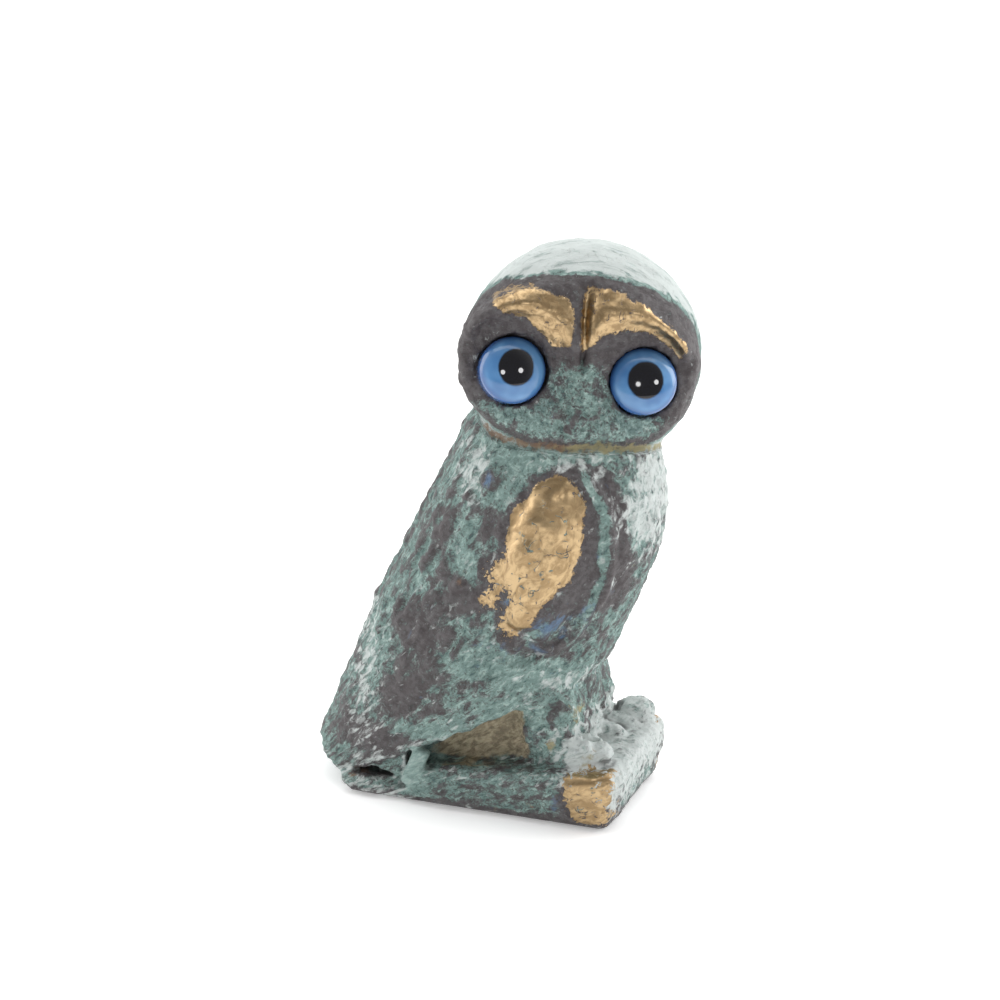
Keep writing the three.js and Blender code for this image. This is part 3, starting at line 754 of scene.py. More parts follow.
HOLLOW_STEP, EDGE_STEP = 1.3, 0.9
out_there = owl_distance(*(skin_points + skin_normals * HOLLOW_STEP).T)
in_there = owl_distance(*(skin_points - skin_normals * EDGE_STEP).T)
hollow = np.clip(1 - out_there / HOLLOW_STEP, 0, 1)
exposed = np.clip(1 + in_there / EDGE_STEP, 0, 1) * (1 - on_head)
on_body = (1 - on_head) * ease((2.0 - np.abs(body_here)) / 1.5)
from_back = x - body_section(z)[0]
feather = on_body * ease((z - 14) / 6) * ease((10.4 - x) / 3)
feather = feather * ease((side_out - 1) / 3) * ease((from_back - 0.5) / 4)
knobby = hill(x - 10.5, 4.5) * ease((14.5 - z) / 3) * ease((z - 6.5) / 2)
knobby = np.clip(knobby + 0.8 * beak_here, 0, 1) * (1 - on_bar)
feather = feather * (1 - on_bar)
print("hollows up to", round(float(hollow.max()), 2), "edges up to", round(float(exposed.max()), 2))

# %% [markdown]
# ## The casting's mesh
# The points, faces and attributes become one mesh. Attributes are plain numbers stored on its corners, and
# both Geometry Nodes and the materials can read them by name.

# %% Casting mesh
mesh = bpy.data.meshes.new("owl_form")
mesh.from_pydata((skin_points * MM).tolist(), [], skin_quads[:, ::-1].tolist())
mesh.polygons.foreach_set("use_smooth", [True] * len(mesh.polygons))
shares = {
    "metal_reach": metal_reach, "ragged": ragged, "cover": cover, "pale": pale, "blue": blue, "warm": warm,
    "hollow": hollow, "exposed": exposed, "feather": feather, "knobby": knobby, "on_dome": on_dome,
    "on_bar": on_bar, "web": web_shine,
}
for name, values in shares.items():
    mesh.attributes.new(name, "FLOAT", "POINT").data.foreach_set("value", values.astype(np.float32))
mesh.attributes.new("strokes", "FLOAT_VECTOR", "POINT").data.foreach_set(
    "vector", strokes.astype(np.float32).ravel()
)
mesh.update()
form = bpy.data.objects.new("owl_form", mesh)
bpy.context.scene.collection.objects.link(form)
print("attributes:", ", ".join(shares), "and strokes")

# %% [markdown]
# ## Building node trees
# Shader and geometry trees are built alike: a node is made, its settings and unlinked inputs are filled in,
# and links are drawn. One helper does all of that, and a few more name the sums that come up often.

# %% Node helpers


def put(tree, kind, inputs=None, **settings):
    """Adds a node. An input given a socket is linked to it, and any other value is set."""
    made = tree.nodes.new(kind)
    for name, value in settings.items():
        setattr(made, name, value)
    for key, value in (inputs or {}).items():
        if isinstance(value, bpy.types.NodeSocket):
            tree.links.new(value, made.inputs[key])
        else:
            made.inputs[key].default_value = value
    return made


def work_out(tree, operation, a, b=0.0, c=0.0, clamp=False):
    return put(tree, "ShaderNodeMath", {0: a, 1: b, 2: c}, operation=operation, use_clamp=clamp).outputs[0]


def rescale(tree, value, low, high, to_low=0.0, to_high=1.0, smooth=True):
    """Maps a value between two limits to a new pair, with soft ends if smooth."""
    return put(
        tree,
        "ShaderNodeMapRange",
        {"Value": value, "From Min": low, "From Max": high, "To Min": to_low, "To Max": to_high},
        interpolation_type="SMOOTHSTEP" if smooth else "LINEAR",
    ).outputs["Result"]


def blend_colors(tree, share, a, b, blend="MIX"):
    made = put(tree, "ShaderNodeMix", data_type="RGBA", blend_type=blend)
    for index, value in ((0, share), (6, a), (7, b)):
        if isinstance(value, bpy.types.NodeSocket):
            tree.links.new(value, made.inputs[index])
        else:
            made.inputs[index].default_value = value
    return made.outputs[2]


def scaled(tree, vector, factor):
    return put(tree, "ShaderNodeVectorMath", {0: vector, "Scale": factor}, operation="SCALE").outputs[0]


def noise(tree, vector, size, detail=3.0, roughness=0.55, distortion=0.0, seed=0.0):
    """Noise whose lumps are about a size across, in the units of the vector."""
    return put(
        tree,
        "ShaderNodeTexNoise",
        {
            "Vector": vector, "W": seed, "Scale": 1.0 / size, "Detail": detail, "Roughness": roughness,
            "Distortion": distortion,
        },
        noise_dimensions="4D",
    )


def new_tree(name, kind, inputs, outputs):
    """An empty tree with named sockets: each is a name, a type, and for inputs a value."""
    tree = bpy.data.node_groups.new(name, kind)
    for label, socket_type, value in inputs:
        socket = tree.interface.new_socket(label, in_out="INPUT", socket_type=socket_type)
        if value is not None:
            socket.default_value = value
    for label, socket_type in outputs:
        tree.interface.new_socket(label, in_out="OUTPUT", socket_type=socket_type)
    return tree, tree.nodes.new("NodeGroupInput").outputs, tree.nodes.new("NodeGroupOutput").inputs


# %% [markdown]
# ## The cast skin
# Up close the skin of the casting is lumpy, combed with strokes, dented in long scales on the wings and
# knotted over the feet. It follows one rule all over the owl, which is a job for Geometry Nodes: noise in the
# stroke coordinates pushes every corner in or out along its normal, and the height is kept as an attribute,
# so that the patina can gather in what ends up low. Rubbed places are left smooth.

# %% Geometry Nodes
skin_tree, given, result = new_tree(
    "cast_skin",
    "GeometryNodeTree",
    [
        ("Geometry", "NodeSocketGeometry", None),
        ("Lump Size", "NodeSocketFloat", 3.2),
        ("Lump Height", "NodeSocketFloat", 0.35),
        ("Stroke Size", "NodeSocketFloat", 1.0),
        ("Stroke Height", "NodeSocketFloat", 0.28),
        ("Scale Size", "NodeSocketFloat", 2.2),
        ("Scale Depth", "NodeSocketFloat", 0.32),
        ("Knot Size", "NodeSocketFloat", 1.6),
        ("Knot Height", "NodeSocketFloat", 0.95),
        ("Seed", "NodeSocketFloat", 4.0),
        ("Material", "NodeSocketMaterial", None),
    ],
    [("Geometry", "NodeSocketGeometry")],
)


def share(tree, name, data_type="FLOAT"):
    found = put(tree, "GeometryNodeInputNamedAttribute", {"Name": name}, data_type=data_type)
    return found.outputs["Attribute"]


def centred_noise(tree, vector, size, detail, seed):
    """Noise about zero, roughly from -1 to 1."""
    shrunk = put(tree, "ShaderNodeVectorMath", {0: vector, 1: size}, operation="DIVIDE").outputs[0]
    raw = noise(tree, shrunk, 1.0, detail=detail, seed=seed).outputs[0]
    return work_out(tree, "MULTIPLY", work_out(tree, "SUBTRACT", raw, 0.5), 3.0)


position_mm = scaled(skin_tree, put(skin_tree, "GeometryNodeInputPosition").outputs[0], 1 / MM)
stroke_place = share(skin_tree, "strokes", "FLOAT_VECTOR")
seed = given["Seed"]
lumps = centred_noise(skin_tree, position_mm, given["Lump Size"], 2.0, seed)
combed = centred_noise(skin_tree, stroke_place, given["Stroke Size"], 2.0, seed)
knots = centred_noise(skin_tree, position_mm, given["Knot Size"], 1.5, work_out(skin_tree, "ADD", seed, 7.0))
cell_place = put(
    skin_tree, "ShaderNodeVectorMath", {0: stroke_place, 1: given["Scale Size"]}, operation="DIVIDE"
).outputs[0]
wobble = noise(skin_tree, cell_place, 1.0, detail=2.0, seed=seed).outputs[1]
cell_place = put(
    skin_tree,
    "ShaderNodeVectorMath",
    {0: wobble, 1: (0.55, 0.55, 0.55), 2: cell_place},
    operation="MULTIPLY_ADD",
).outputs[0]
cells = put(
    skin_tree,
    "ShaderNodeTexVoronoi",
    {"Vector": cell_place, "Scale": 1.0, "Randomness": 0.8},
    feature="DISTANCE_TO_EDGE",
).outputs["Distance"]
scales = rescale(skin_tree, cells, 0.08, 0.34, 0.5, -0.9)
height = work_out(skin_tree, "MULTIPLY", lumps, given["Lump Height"])
height = work_out(skin_tree, "MULTIPLY_ADD", combed, given["Stroke Height"], height)
scales = work_out(skin_tree, "MULTIPLY", scales, given["Scale Depth"])
scales = work_out(skin_tree, "MULTIPLY", scales, share(skin_tree, "feather"))
height = work_out(skin_tree, "ADD", height, scales)
knots = work_out(skin_tree, "MULTIPLY", knots, given["Knot Height"])
knots = work_out(skin_tree, "MULTIPLY", knots, share(skin_tree, "knobby"))
height = work_out(skin_tree, "ADD", height, knots)
rubbed = rescale(skin_tree, share(skin_tree, "metal_reach"), -0.6, 0.6)
quiet = rescale(skin_tree, share(skin_tree, "on_dome"), 0.0, 1.0, 1.0, 0.55)
height = work_out(skin_tree, "MULTIPLY", height, work_out(skin_tree, "MULTIPLY_ADD", rubbed, -0.65, 1.0))
height = work_out(skin_tree, "MULTIPLY", height, quiet)
bar_quiet = work_out(skin_tree, "MULTIPLY_ADD", share(skin_tree, "on_bar"), -0.85, 1.0)
height = work_out(skin_tree, "MULTIPLY", height, bar_quiet)
level = put(skin_tree, "ShaderNodeSeparateXYZ", {0: position_mm}).outputs[2]
above_floor = rescale(skin_tree, level, 0.0, 1.2)
height = work_out(skin_tree, "MULTIPLY", height, above_floor)
outward = put(skin_tree, "GeometryNodeInputNormal").outputs[0]
push = scaled(skin_tree, outward, work_out(skin_tree, "MULTIPLY", height, MM))
kept = put(
    skin_tree,
    "GeometryNodeStoreNamedAttribute",
    {"Geometry": given["Geometry"], "Name": "relief", "Value": height},
    data_type="FLOAT",
    domain="POINT",
)
moved = put(skin_tree, "GeometryNodeSetPosition", {"Geometry": kept.outputs[0], "Offset": push})
real = put(skin_tree, "GeometryNodeRealizeInstances", {"Geometry": moved.outputs[0]})
painted = put(skin_tree, "GeometryNodeSetMaterial", {"Geometry": real.outputs[0]})
skin_tree.links.new(given["Material"], painted.inputs["Material"])
skin_tree.links.new(painted.outputs[0], result["Geometry"])
print("cast_skin:", len(skin_tree.nodes), "nodes")

# %% Applying a tree


def apply_tree(source, tree, name, values):
    """Runs a tree on an object with the values given by name, and returns a new object with the result."""
    modifier = source.modifiers.new(tree.name, "NODES")
    modifier.node_group = tree
    for item in tree.interface.items_tree:
        if item.in_out == "INPUT" and item.name in values:
            modifier[item.identifier] = values[item.name]
    evaluated = source.evaluated_get(bpy.context.evaluated_depsgraph_get())
    applied = bpy.data.meshes.new_from_object(evaluated)
    applied.name = name
    source.modifiers.remove(modifier)
    piece = bpy.data.objects.new(name, applied)
    bpy.context.scene.collection.objects.link(piece)
    return piece


# %% [markdown]
# ## Shared effects
# Three effects turn up in more than one material, so each is a shader group of its own: a patchy cover whose
# amount can change over the surface, an edge that is tattered by noise, and the fine grain of a skin that was
# etched. They give out masks and heights only.

# %% Shader groups
FLOAT, VECTOR = "NodeSocketFloat", "NodeSocketVector"


def patchy_cover_group():
    tree, given, result = new_tree(
        "patchy_cover",
        "ShaderNodeTree",
        [("Vector", VECTOR, None), ("Amount", FLOAT, 0.0), ("Patch Size", FLOAT, 1.5), ("Edge", FLOAT, 0.05),
         ("Curl", FLOAT, 0.6), ("Seed", FLOAT, 0.0)],
        [("Mask", FLOAT)],
    )
    patch_sizes = {0: given["Vector"], 1: given["Patch Size"]}
    patch_place = put(tree, "ShaderNodeVectorMath", patch_sizes, operation="DIVIDE")
    raw = put(
        tree,
        "ShaderNodeTexNoise",
        {"Vector": patch_place.outputs[0], "W": given["Seed"], "Scale": 1.0, "Detail": 5.0, "Roughness": 0.62,
         "Distortion": given["Curl"]},
        noise_dimensions="4D",
    ).outputs[0]
    shifted = work_out(tree, "MULTIPLY_ADD", given["Amount"], 0.26, raw)
    low = work_out(tree, "SUBTRACT", 0.5, given["Edge"])
    high = work_out(tree, "ADD", 0.5, given["Edge"])
    tree.links.new(rescale(tree, shifted, low, high), result["Mask"])
    return tree


def tattered_edge_group():
    tree, given, result = new_tree(
        "tattered_edge",
        "ShaderNodeTree",
        [("Vector", VECTOR, None), ("Reach", FLOAT, 0.0), ("Raggedness", FLOAT, 0.3), ("Edge", FLOAT, 0.12)],
        [("Mask", FLOAT)],
    )
    torn = noise(tree, given["Vector"], 1.1, detail=4.0, roughness=0.7, distortion=0.8, seed=3.0).outputs[0]
    torn = work_out(tree, "MULTIPLY", work_out(tree, "SUBTRACT", torn, 0.5), 7.0)
    reach = work_out(tree, "MULTIPLY_ADD", torn, given["Raggedness"], given["Reach"])
    low = work_out(tree, "MULTIPLY", given["Edge"], -1.0)
    tree.links.new(rescale(tree, reach, low, given["Edge"]), result["Mask"])
    return tree


def etched_grain_group():
    tree, given, result = new_tree(
        "etched_grain",
        "ShaderNodeTree",
        [("Vector", VECTOR, None), ("Grain Size", FLOAT, 0.25), ("Pit Size", FLOAT, 0.7),
         ("Pit Share", FLOAT, 0.3)],
        [("Height", FLOAT), ("Pits", FLOAT)],
    )
    fine = put(tree, "ShaderNodeVectorMath", {0: given["Vector"], 1: given["Grain Size"]}, operation="DIVIDE")
    grain = noise(tree, fine.outputs[0], 1.0, detail=3.0, roughness=0.6, seed=1.0).outputs[0]
    wide = put(tree, "ShaderNodeVectorMath", {0: given["Vector"], 1: given["Pit Size"]}, operation="DIVIDE")
    holes = noise(tree, wide.outputs[0], 1.0, detail=2.0, roughness=0.5, distortion=0.6, seed=8.0).outputs[0]
    low = work_out(tree, "MULTIPLY_ADD", given["Pit Share"], 0.5, 0.22)
    holes = rescale(tree, holes, low, work_out(tree, "ADD", low, 0.05), 1.0, 0.0)
    tree.links.new(holes, result["Pits"])
    tree.links.new(work_out(tree, "SUBTRACT", grain, holes), result["Height"])
    return tree


patchy_cover, tattered_edge, etched_grain = patchy_cover_group(), tattered_edge_group(), etched_grain_group()


def use(tree, group, inputs):
    return put(tree, "ShaderNodeGroup", inputs, node_tree=group).outputs


# %% [markdown]
# ## The bronze
# The material stacks its finishes in the order in which they came: dark oxide, green verdigris in patches,
# a chalky bloom where it dried, blue and olive stains, and at last the bright metal where all of that was
# rubbed away. Each layer is a mask, an amount from the attributes broken up by noise, that mixes the next
# colour, roughness and height over the last.

# %% Bronze colours
DARK_BROWN = (0.05, 0.04, 0.042, 1)
DARK_GREY = (0.088, 0.08, 0.082, 1)
VERDIGRIS = (0.175, 0.262, 0.24, 1)
VERDIGRIS_DEEP = (0.07, 0.118, 0.114, 1)
VERDIGRIS_PALE = (0.34, 0.46, 0.425, 1)
CHALK = (0.6, 0.64, 0.625, 1)
CHALK_GREY = (0.3, 0.36, 0.345, 1)
STAIN_BLUE = (0.1, 0.19, 0.32, 1)
OLIVE = (0.36, 0.31, 0.15, 1)
RUST = (0.22, 0.125, 0.068, 1)
WEB_GOLD = (0.52, 0.44, 0.3, 1)
WEB_BROWN = (0.25, 0.205, 0.14, 1)
BRASS = (0.54, 0.39, 0.218, 1)
BRASS_DEEP = (0.34, 0.235, 0.125, 1)


def attribute(tree, name, output="Fac"):
    return put(tree, "ShaderNodeAttribute", attribute_name=name, attribute_type="GEOMETRY").outputs[output]


def new_material(name):
    material = bpy.data.materials.new(name)
    material.use_nodes = True
    tree = material.node_tree
    shader = tree.nodes["Principled BSDF"]
    place = scaled(tree, put(tree, "ShaderNodeTexCoord").outputs["Object"], 1 / MM)
    return material, tree, shader, place


def cover_mask(tree, vector, amount, size, edge, seed, curl=0.6):
    """The mask of a patchy cover whose patches are about a size across."""
    given = {"Vector": vector, "Amount": amount, "Patch Size": size, "Edge": edge, "Curl": curl, "Seed": seed}
    return use(tree, patchy_cover, given)["Mask"]


def mix_values(tree, share, a, b):
    return put(tree, "ShaderNodeMix", {0: share, 2: a, 3: b}, data_type="FLOAT").outputs[0]


# %% Dark oxide and green crust
bronze, tree, shader, place = new_material("cast_bronze")
strokes_here = attribute(tree, "strokes", "Vector")
relief = attribute(tree, "relief")
brown_tone = noise(tree, place, 0.8, detail=4.0, roughness=0.65, seed=11.0).outputs[0]
color = blend_colors(tree, rescale(tree, brown_tone, 0.4, 0.62), DARK_BROWN, DARK_GREY)

# The crust stands on the raised strokes and rims, crumbles away in specks and leaves dust beside it.
amount = work_out(tree, "MULTIPLY_ADD", relief, 1.3, attribute(tree, "cover"))
green = cover_mask(tree, strokes_here, amount, size=1.15, edge=0.06, seed=2.0)
crumb_amount = work_out(tree, "MULTIPLY_ADD", amount, 0.5, 0.15)
crumbled = cover_mask(tree, place, crumb_amount, size=0.4, edge=0.09, seed=5.0, curl=1.0)
dust_amount = work_out(tree, "MULTIPLY_ADD", amount, 0.3, -0.35)
dusted = cover_mask(tree, place, dust_amount, size=0.45, edge=0.1, seed=6.0, curl=1.0)
green_solid = work_out(tree, "MULTIPLY", green, rescale(tree, crumbled, 0.0, 1.0, 0.15, 1.0))
green_solid = work_out(tree, "MAXIMUM", green_solid, work_out(tree, "MULTIPLY", dusted, 0.5))

tint = noise(tree, strokes_here, 0.55, detail=5.0, roughness=0.65, distortion=0.5, seed=9.0).outputs[0]
green_color = blend_colors(tree, rescale(tree, tint, 0.48, 0.66), VERDIGRIS, VERDIGRIS_PALE)
green_color = blend_colors(tree, rescale(tree, tint, 0.48, 0.34), green_color, VERDIGRIS_DEEP)
color = blend_colors(tree, green_solid, color, green_color)

# %% Bloom and stains
# The bloom lies on the dome, the breast and the edges below the head, combed with fine grey lines.
# On the dome the pale is partly painted top light.
chalk_amount = work_out(tree, "MULTIPLY_ADD", attribute(tree, "pale"), 1.5, -0.75)
chalk_amount = work_out(tree, "MULTIPLY_ADD", relief, 0.6, chalk_amount)
chalk_amount = work_out(tree, "MULTIPLY_ADD", attribute(tree, "exposed"), 1.2, chalk_amount)
chalk = cover_mask(tree, strokes_here, chalk_amount, size=0.8, edge=0.09, seed=14.0)
comb_squeeze = (0.55, 2.6, 1.3)
combed_place = put(tree, "ShaderNodeVectorMath", {0: strokes_here, 1: comb_squeeze}, operation="MULTIPLY")
comb_lines = noise(tree, combed_place.outputs[0], 1.0, detail=5.0, roughness=0.65, distortion=0.7, seed=15.0)
comb_lines = comb_lines.outputs[0]
chalk_color = blend_colors(tree, rescale(tree, comb_lines, 0.5, 0.3), CHALK, CHALK_GREY)
color = blend_colors(tree, work_out(tree, "MULTIPLY", chalk, 0.9), color, chalk_color)

blue_amount = work_out(tree, "MULTIPLY_ADD", attribute(tree, "blue"), 1.2, -0.9)
stained = cover_mask(tree, strokes_here, blue_amount, size=1.2, edge=0.1, seed=17.0)
color = blend_colors(tree, work_out(tree, "MULTIPLY", stained, 0.7), color, STAIN_BLUE)

# The stain is rusty towards the back and olive towards the breast.
warm_amount = work_out(tree, "MULTIPLY_ADD", attribute(tree, "warm"), 1.7, -1.0)
warmed = cover_mask(tree, place, warm_amount, size=1.0, edge=0.1, seed=21.0)
along_owl = put(tree, "ShaderNodeSeparateXYZ", {0: place}).outputs[0]
warm_tone = noise(tree, place, 1.4, detail=3.0, seed=23.0).outputs[0]
warm_tone = work_out(tree, "MULTIPLY_ADD", along_owl, -0.03, work_out(tree, "ADD", warm_tone, 0.3))
warm_color = blend_colors(tree, rescale(tree, warm_tone, 0.4, 0.6), OLIVE, RUST)
color = blend_colors(tree, work_out(tree, "MULTIPLY", warmed, 0.8), color, warm_color)

# Painted shade: the hollows are darkened towards the dark brown.
hollow_shade = rescale(tree, attribute(tree, "hollow"), 0.45, 0.9)
color = blend_colors(tree, work_out(tree, "MULTIPLY", hollow_shade, 0.6), color, DARK_BROWN)
grain = use(tree, etched_grain, {"Vector": place, "Grain Size": 0.22, "Pit Size": 0.45, "Pit Share": 0.22})
pits = work_out(tree, "MULTIPLY", grain["Pits"], work_out(tree, "MULTIPLY_ADD", chalk, -0.42, 0.5))
color = blend_colors(tree, pits, color, DARK_BROWN)
bar_color = blend_colors(tree, rescale(tree, tint, 0.3, 0.7), VERDIGRIS, VERDIGRIS_PALE)
color = blend_colors(tree, work_out(tree, "MULTIPLY", attribute(tree, "on_bar"), 0.8), color, bar_color)

# %% Bright metal on top
# The web was only half cleaned, so it is a dull gold-brown.
web_amount = work_out(tree, "MULTIPLY_ADD", attribute(tree, "web"), 2.4, -1.1)
web = cover_mask(tree, strokes_here, web_amount, size=1.6, edge=0.12, seed=25.0)
web_color = blend_colors(tree, rescale(tree, tint, 0.38, 0.62), WEB_BROWN, WEB_GOLD)
color = blend_colors(tree, work_out(tree, "MULTIPLY", web, 0.9), color, web_color)

# Specks and fine curved scratches keep their dark oxide inside the bright metal.
reach, ragged_here = attribute(tree, "metal_reach"), attribute(tree, "ragged")
torn = {"Vector": place, "Reach": reach, "Raggedness": ragged_here, "Edge": 0.1}
metal = use(tree, tattered_edge, torn)["Mask"]
specks = cover_mask(tree, strokes_here, -0.62, size=0.75, edge=0.03, seed=31.0, curl=2.0)
scratch_noise = noise(tree, strokes_here, 1.6, detail=2.0, roughness=0.5, distortion=1.6, seed=37.0)
scratch_place = noise(tree, place, 1.3, detail=2.0, seed=38.0).outputs[0]
off_line = work_out(tree, "ABSOLUTE", work_out(tree, "SUBTRACT", scratch_noise.outputs[0], 0.5))
scratches = rescale(tree, off_line, 0.022, 0.008)
scratches = work_out(tree, "MULTIPLY", scratches, rescale(tree, scratch_place, 0.52, 0.6))
marks = work_out(tree, "MAXIMUM", specks, scratches)
metal = work_out(tree, "MULTIPLY", metal, work_out(tree, "MULTIPLY_ADD", marks, -0.9, 1.0))
brass_tone = noise(tree, strokes_here, 0.9, detail=5.0, roughness=0.65, distortion=1.0, seed=33.0).outputs[0]
brass = blend_colors(tree, rescale(tree, brass_tone, 0.62, 0.38), BRASS, BRASS_DEEP)
color = blend_colors(tree, metal, color, brass)

# %% Roughness and fine relief
rough = rescale(tree, green_solid, 0.0, 1.0, 0.5, 0.78)
rough = work_out(tree, "MULTIPLY_ADD", brown_tone, 0.12, rough)
metal_rough = rescale(tree, brass_tone, 0.35, 0.65, 0.42, 0.28)
crust = work_out(tree, "MULTIPLY", green_solid, 0.6)
crust = work_out(tree, "MULTIPLY_ADD", grain["Height"], 0.5, crust)
crust = work_out(tree, "MULTIPLY_ADD", tint, 0.9, crust)
crust = work_out(tree, "MULTIPLY_ADD", comb_lines, 0.9, crust)
hammered = noise(tree, strokes_here, 1.9, detail=3.0, roughness=0.45, seed=35.0).outputs[0]
metal_height = work_out(tree, "MULTIPLY_ADD", hammered, 1.8, -0.6)
metal_height = work_out(tree, "MULTIPLY_ADD", marks, -0.8, metal_height)
skin_height = mix_values(tree, metal, crust, metal_height)
bump = put(tree, "ShaderNodeBump", {"Strength": 0.75, "Distance": 0.12 * MM, "Height": skin_height})

tree.links.new(color, shader.inputs["Base Color"])
tree.links.new(mix_values(tree, metal, rough, metal_rough), shader.inputs["Roughness"])
shine = work_out(tree, "MAXIMUM", metal, work_out(tree, "MULTIPLY", web, 0.35))
tree.links.new(shine, shader.inputs["Metallic"])
tree.links.new(bump.outputs[0], shader.inputs["Normal"])
print("cast_bronze:", len(tree.nodes), "nodes")

# %% The finished casting
casting = apply_tree(form, skin_tree, "owl_bronze", {"Material": bronze})
bpy.data.objects.remove(form)
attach(casting, "root")
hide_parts("owl_casting")
print("owl_bronze:", sum(len(p.vertices) - 2 for p in casting.data.polygons), "triangles")

# %% [markdown]
# ## The eyes
# Each eye is a button of blue glass with a black pupil fused into it, ground flat behind and domed in front.
# It is turned on a lathe: a profile is swept round the axis. How far a point is from the pupil's middle is
# kept as an attribute, and the material turns it into the rings of colour.

# %% Eye glass
EYE_SIDES = 96
EYE_RINGS = 26
EYE_BEVEL = 0.18
PUPIL_RADIUS = 2.1
PUPIL_SHIFT = {-1: (0.28, 0.24), 1: (0.06, 0.06)}
EYE_BLUE = (0.055, 0.18, 0.42, 1)
EYE_BLUE_LIGHT = (0.13, 0.31, 0.57, 1)
EYE_RIM = (0.03, 0.1, 0.3, 1)
PUPIL_BLACK = (0.003, 0.003, 0.006, 1)

glass, tree, shader, place = new_material("eye_glass")
from_pupil = attribute(tree, "from_pupil")
from_axis = attribute(tree, "from_axis")
wave = noise(tree, place, 1.6, detail=2.0, seed=41.0).outputs[0]
cloud = noise(tree, place, 4.0, detail=2.0, seed=43.0).outputs[0]
iris = blend_colors(tree, rescale(tree, cloud, 0.35, 0.65), EYE_BLUE, EYE_BLUE_LIGHT)
iris = blend_colors(tree, rescale(tree, from_axis, 3.2, 3.9), iris, EYE_RIM)
edge = work_out(tree, "MULTIPLY_ADD", work_out(tree, "SUBTRACT", wave, 0.5), 0.25, from_pupil)
pupil = rescale(tree, edge, PUPIL_RADIUS + 0.12, PUPIL_RADIUS - 0.16)
tree.links.new(blend_colors(tree, pupil, iris, PUPIL_BLACK), shader.inputs["Base Color"])
smear = cover_mask(tree, place, -0.3, size=2.5, edge=0.2, seed=45.0)
tree.links.new(rescale(tree, smear, 0.0, 1.0, 0.04, 0.12), shader.inputs["Roughness"])
shader.inputs["Coat Weight"].default_value = 0.6
shader.inputs["Coat Roughness"].default_value = 0.02
fine = use(tree, etched_grain, {"Vector": place, "Grain Size": 1.2, "Pit Size": 1.4, "Pit Share": 0.04})
bump = put(tree, "ShaderNodeBump", {"Strength": 0.06, "Distance": 0.05 * MM, "Height": fine["Height"]})
tree.links.new(bump.outputs[0], shader.inputs["Normal"])

# %% Eye meshes


def eye_profile():
    """Distances from the axis and along it, from the middle of the back to the top of the dome."""
    profile = [(0.0, -EYE_DEPTH), (EYE_RADIUS * 0.6, -EYE_DEPTH), (EYE_RADIUS - EYE_BEVEL, -EYE_DEPTH)]
    profile += [(EYE_RADIUS, EYE_BEVEL - EYE_DEPTH), (EYE_RADIUS, -0.6), (EYE_RADIUS, 0.0)]
    for i in range(1, EYE_RINGS):
        turn = i / EYE_RINGS * math.pi / 2
        profile.append((EYE_RADIUS * math.cos(turn), EYE_DOME * math.sin(turn)))
    return profile + [(0.0, EYE_DOME)]


def eye_mesh(name, side):
    place, turn = eye_frame(side)
    points, faces = [], []
    profile = eye_profile()
    points.append((0, profile[0][1], 0))
    for out, along in profile[1:-1]:
        for k in range(EYE_SIDES):
            angle = 2 * math.pi * k / EYE_SIDES
            points.append((out * math.cos(angle), along, out * math.sin(angle)))
    points.append((0, profile[-1][1], 0))
    last = len(points) - 1
    for k in range(EYE_SIDES):
        after = (k + 1) % EYE_SIDES
        faces.append((0, 1 + k, 1 + after))
        for ring in range(len(profile) - 3):
            row, above = 1 + ring * EYE_SIDES, 1 + (ring + 1) * EYE_SIDES
            faces.append((row + k, above + k, above + after, row + after))
        top = 1 + (len(profile) - 3) * EYE_SIDES
        faces.append((top + k, last, top + after))
    points = np.array(points)
    from_axis = np.hypot(points[:, 0], points[:, 2])
    in_head = points @ np.array(turn).T
    shift = PUPIL_SHIFT[side]
    from_pupil = np.hypot(in_head[:, 0] - shift[0], in_head[:, 1] - shift[1] - 0.29 * points[:, 1])
    from_pupil = np.where(points[:, 1] > -0.5, from_pupil, 9.0)
    placed = HEAD_CENTRE + (place + in_head) @ head_axes
    mesh = bpy.data.meshes.new(name)
    mesh.from_pydata((placed * MM).tolist(), [], faces)
    mesh.polygons.foreach_set("use_smooth", [True] * len(mesh.polygons))
    for label, values in (("from_axis", from_axis), ("from_pupil", from_pupil)):
        mesh.attributes.new(label, "FLOAT", "POINT").data.foreach_set("value", values.astype(np.float32))
    mesh.update()
    return mesh


for side, node in {-1: "right_eye", 1: "left_eye"}.items():
    eye = bpy.data.objects.new(node + "_glass", eye_mesh(node + "_glass", side))
    bpy.context.scene.collection.objects.link(eye)
    eye.data.materials.append(glass)
    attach(eye, "root")
    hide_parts(node)
    corners = np.array([v.co[:] for v in eye.data.vertices])
    low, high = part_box(node)
    off = np.maximum(np.abs(corners.min(0) - low), np.abs(corners.max(0) - high)).max() / MM
    print(node, "lies within", round(float(off), 3), "mm of the measured one's box")

# %% [markdown]
# ## Floor and light
# The photograph is a product shot in a white tent: soft light comes from above and from both sides, so that
# the outlines glow, and less from the camera's side. Two small round lamps, one near the camera and one to
# its right, leave their glints in the eyes. The white of the tent is the world's colour, dimmed in the
# direction of the camera.

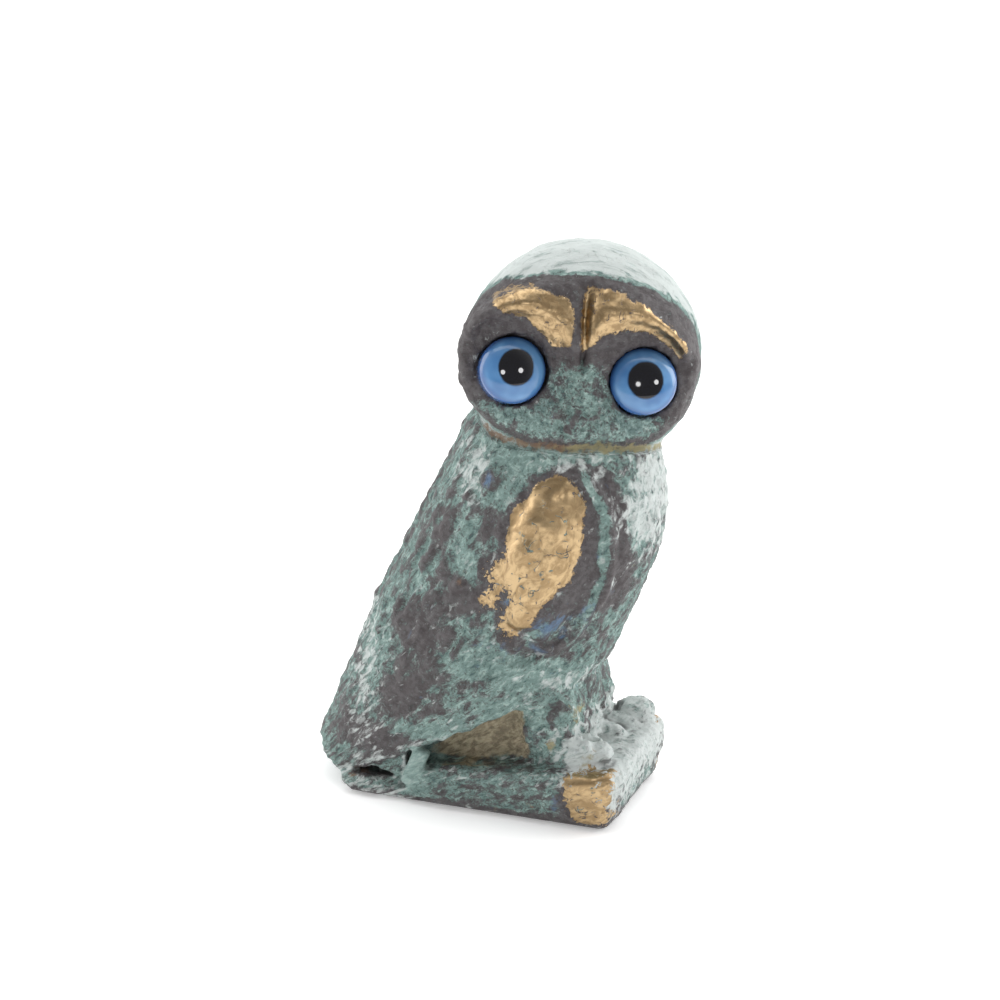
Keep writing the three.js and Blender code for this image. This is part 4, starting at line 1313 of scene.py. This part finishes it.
# %% Floor
floor_mesh = bpy.data.meshes.new("floor")
floor_mesh.from_pydata([(-3, -3, 0), (3, -3, 0), (3, 3, 0), (-3, 3, 0)], [], [(0, 1, 2, 3)])
floor = bpy.data.objects.new("floor", floor_mesh)
bpy.context.scene.collection.objects.link(floor)
paper, tree, shader, place = new_material("studio_paper")
fibre = noise(tree, place, 3.0, detail=4.0, seed=51.0).outputs[0]
paper_color = blend_colors(tree, fibre, (0.93, 0.93, 0.93, 1), (0.96, 0.96, 0.96, 1))
tree.links.new(paper_color, shader.inputs["Base Color"])
shader.inputs["Roughness"].default_value = 1.0
shader.inputs["Specular IOR Level"].default_value = 0.0
shader.inputs["Emission Color"].default_value = (1, 1, 1, 1)
shader.inputs["Emission Strength"].default_value = 0.26
floor_mesh.materials.append(paper)

# %% Lights
TENT_STRENGTH = 1.0
TENT_DIM = 0.25
world = bpy.data.worlds.new("tent")
bpy.context.scene.world = world
world.use_nodes = True
tree = world.node_tree
direction = put(tree, "ShaderNodeTexCoord").outputs["Generated"]
toward = put(tree, "ShaderNodeVectorMath", {0: direction, 1: tuple(to_camera)}, operation="DOT_PRODUCT")
strength = rescale(tree, toward.outputs["Value"], 0.1, 0.85, TENT_STRENGTH, TENT_DIM)
seen = put(tree, "ShaderNodeLightPath").outputs["Is Camera Ray"]
strength = mix_values(tree, seen, strength, 1.0)
tree.links.new(strength, tree.nodes["Background"].inputs["Strength"])
tree.nodes["Background"].inputs["Color"].default_value = (1, 1, 1, 1)


def soft_lamp(name, azimuth, elevation, distance, size, power, shape="RECTANGLE"):
    """A flat lamp that faces the owl from a direction, in degrees round it and above the floor."""
    around, up = math.radians(azimuth), math.radians(elevation)
    away = Vector((math.sin(around) * math.cos(up), -math.cos(around) * math.cos(up), math.sin(up)))
    lamp = bpy.data.objects.new(name, bpy.data.lights.new(name, "AREA"))
    lamp.data.shape = shape
    lamp.data.size, lamp.data.size_y = size
    lamp.data.energy = power
    lamp.location = Vector((0, 0, 0.035)) + away * distance
    lamp.rotation_mode = "QUATERNION"
    lamp.rotation_quaternion = away.to_track_quat("Z", "Y")
    bpy.context.scene.collection.objects.link(lamp)
    return lamp


soft_lamp("top_box", 200, 76, 1.0, (1.2, 1.2), 5.4)
soft_lamp("left_box", -82, 20, 0.6, (0.35, 0.6), 1.3)
soft_lamp("right_box", 122, 20, 0.6, (0.35, 0.6), 1.8)
soft_lamp("left_glint", 18, 24, 0.6, (0.09, 0.09), 0.22, "ELLIPSE")
soft_lamp("right_glint", 54, 24, 0.6, (0.09, 0.09), 0.22, "ELLIPSE")
bpy.context.scene.view_settings.view_transform = "Standard"
